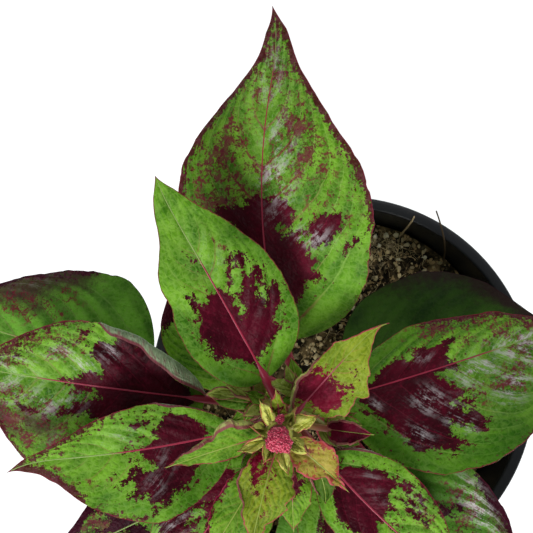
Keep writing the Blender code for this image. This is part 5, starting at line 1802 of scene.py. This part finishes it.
def make_pot(look):
    """The pot of the part with rounded lips, more sides and the same holes."""
    plate_under = POT_HEIGHT - RIM_PLATE
    skirt_foot = POT_HEIGHT - RIM_SKIRT
    inside = RIM_RADIUS - RIM_LIP
    profile = [
        (0.0, BASE_PLATE),
        (PAD_RADIUS - 0.5, BASE_PLATE),
        (PAD_RADIUS + 1.0, BASE_PLATE + RECESS),
        (RECESS_OUTER - 1.0, BASE_PLATE + RECESS),
        (RECESS_OUTER + 0.5, BASE_PLATE),
        (wall_inside(BASE_PLATE), BASE_PLATE),
        *arc((inside + LIP_ROUND, POT_HEIGHT - LIP_ROUND), LIP_ROUND, 180, 90, 6),
        *arc((RIM_RADIUS - RIM_ROUND, POT_HEIGHT - RIM_ROUND), RIM_ROUND, 90, 0, 7),
        *arc((RIM_RADIUS - SKIRT_ROUND, skirt_foot + SKIRT_ROUND), SKIRT_ROUND, 0, -90, 4),
        *arc((RIM_RADIUS - WALL + SKIRT_ROUND, skirt_foot + SKIRT_ROUND), SKIRT_ROUND, -90, -180, 4),
        (RIM_RADIUS - WALL, plate_under - RIM_BEVEL),
        (RIM_RADIUS - WALL - RIM_BEVEL, plate_under),
        (wall_outside(plate_under) + RIM_BEVEL, plate_under),
        (wall_outside(plate_under), plate_under - RIM_BEVEL),
        (BASE_RADIUS + 0.1, 1.0),
        (BASE_RADIUS - 0.3, 0.25),
        (BASE_RADIUS - 0.9, 0.0),
        (RECESS_OUTER + 0.2, 0.0),
        (RECESS_OUTER - 1.5, RECESS),
        (PAD_RADIUS + 1.5, RECESS),
        (PAD_RADIUS, 0.0),
        (0.0, 0.0),
    ]
    mesh = bpy.data.meshes.new("pot_fine")
    build = bmesh.new()
    points = [build.verts.new((radius * MM, 0, z * MM)) for radius, z in profile]
    for pair in zip(points, points[1:]):
        build.edges.new(pair)
    build.to_mesh(mesh)
    build.free()
    pot = bpy.data.objects.new("pot_fine", mesh)
    bpy.context.scene.collection.objects.link(pot)
    screw = pot.modifiers.new("turn", "SCREW")
    screw.steps = POT_SIDES
    screw.render_steps = POT_SIDES
    screw.use_merge_vertices = True
    screw.merge_threshold = 1e-6
    cutters = bpy.data.collections.new("pot_cutters")
    bpy.context.scene.collection.children.link(cutters)
    for a in turns(DRAIN_HOLES):
        bpy.ops.mesh.primitive_cylinder_add(
            vertices=32,
            radius=DRAIN_RADIUS * MM,
            depth=20 * MM,
            location=(DRAIN_CIRCLE * MM * math.cos(a), DRAIN_CIRCLE * MM * math.sin(a), 0),
        )
        move_to(bpy.context.object, cutters)
    for a in turns(SLOTS) + math.pi / SLOTS:
        bpy.ops.mesh.primitive_cube_add(
            size=1,
            location=(BASE_RADIUS * MM * math.cos(a), BASE_RADIUS * MM * math.sin(a), 0),
            rotation=(0, 0, a),
            scale=(SLOT_DEPTH * MM, SLOT_WIDTH * MM, 2 * SLOT_HEIGHT * MM),
        )
        move_to(bpy.context.object, cutters)
    cut = pot.modifiers.new("cut", "BOOLEAN")
    cut.operation = "DIFFERENCE"
    cut.operand_type = "COLLECTION"
    cut.collection = cutters
    graph = bpy.context.evaluated_depsgraph_get()
    finished = bpy.data.meshes.new_from_object(pot.evaluated_get(graph))
    pot.modifiers.clear()
    pot.data = finished
    for obj in list(cutters.objects):
        bpy.data.objects.remove(obj)
    bpy.data.collections.remove(cutters)
    finished.shade_smooth()
    finished.set_sharp_from_angle(angle=math.radians(40))
    finished.materials.clear()
    finished.materials.append(look)
    finish_piece(pot, "pot")


def move_to(obj, collection):
    """Puts an object in one collection only."""
    for owner in list(obj.users_collection):
        owner.objects.unlink(obj)
    collection.objects.link(obj)


# Stage, light and camera


def area_light(name, place, size, power):
    """A square light that shines on the plant."""
    data = bpy.data.lights.new(name, "AREA")
    data.size = size
    data.energy = power
    obj = bpy.data.objects.new(name, data)
    bpy.context.scene.collection.objects.link(obj)
    out = unit(np.array(place) - np.array(LIGHT_AIM))
    pitch = math.acos(np.clip(out[2], -1, 1))
    obj.location = place
    obj.rotation_euler = (0, pitch, math.atan2(out[1], out[0]))


def make_stage():
    """A pale floor, soft light all round and two large lamps."""
    look = Look("floor_white", roughness=0.8, specular=0.1)
    look.colour(FLOOR_COLOUR)
    look.shader.inputs["Emission Color"].default_value = FLOOR_GLOW
    look.shader.inputs["Emission Strength"].default_value = FLOOR_GLOW_STRENGTH
    bpy.ops.mesh.primitive_plane_add(size=FLOOR_SIZE, location=(0, 0, -FLOOR_GAP))
    floor = bpy.context.object
    floor.name = "floor"
    floor.data.materials.append(look.material)
    world = bpy.data.worlds.new("studio")
    world.use_nodes = True
    background = world.node_tree.nodes["Background"]
    background.inputs["Color"].default_value = SKY_COLOUR
    background.inputs["Strength"].default_value = SKY_STRENGTH
    bpy.context.scene.world = world
    for name, place, size, power in LIGHTS:
        area_light(name, place, size, power)
    bpy.context.scene.view_settings.view_transform = "Standard"


def make_camera():
    """The camera, which looks straight down."""
    data = bpy.data.cameras.new("camera")
    data.lens = CAMERA_LENS
    data.sensor_width = SENSOR
    data.sensor_fit = "HORIZONTAL"
    data.clip_end = FLOOR_SIZE
    camera = bpy.data.objects.new("camera", data)
    camera.location = [value * MM for value in CAMERA_PLACE]
    bpy.context.scene.collection.objects.link(camera)
    bpy.context.scene.camera = camera


def main():
    """Makes the camera, the stage, the materials and every piece."""
    make_camera()
    make_stage()
    looks = {}
    for make_look, colours in (
        (leaf_look, LEAF_COLOURS),
        (under_look, UNDER_COLOURS),
        (stalk_look, STALK_COLOURS),
        (grain_look, GRAIN_COLOURS),
    ):
        for name, shades in colours.items():
            looks[name] = make_look(name, *(tint(*shade) for shade in shades))

    def chosen(names):
        return [looks[name] for name in names]

    seeds = itertools.count(FIRST_SEED, SEED_STEP)
    for name, spec in LEAVES.items():
        names = LOW_LOOKS if name.startswith("leaf_low") else MATURE_LOOKS
        grid = HIDDEN_GRID if name in HIDDEN_LEAVES else LARGE_GRID
        make_leaf(name, spec, chosen(names), next(seeds), grid)
    for name, spec in YOUNG_LEAVES.items():
        names = FRESH_LOOKS if name in FRESH_LEAVES else AMBER_LOOKS if name in AMBER_LEAVES else YOUNG_LOOKS
        make_leaf(name, {**YOUNG_DEFAULTS, **spec}, chosen(names), next(seeds), YOUNG_GRID)
    for name, spec in SHOOTS.items():
        make_shoot(name, spec, chosen(SHOOT_LOOKS), next(seeds))
    make_bracts(chosen(BRACT_LOOKS))
    make_crest([crest_look(), looks["stalk_young"]])
    make_stem([looks["stem_green"]])
    make_pot(pot_look())
    make_soil(soil_look())
    make_crumbs("soil_crumbs", looks["crumb"], **CRUMBS)
    make_crumbs("perlite", looks["perlite_white"], **PERLITE)
    make_fibres("soil_fibres", looks["fibre"], **FIBRES)
    make_straws(looks["fibre"])
    make_fibres("heap_fibres", looks["straw"], **HEAP_FIBRES)


main()
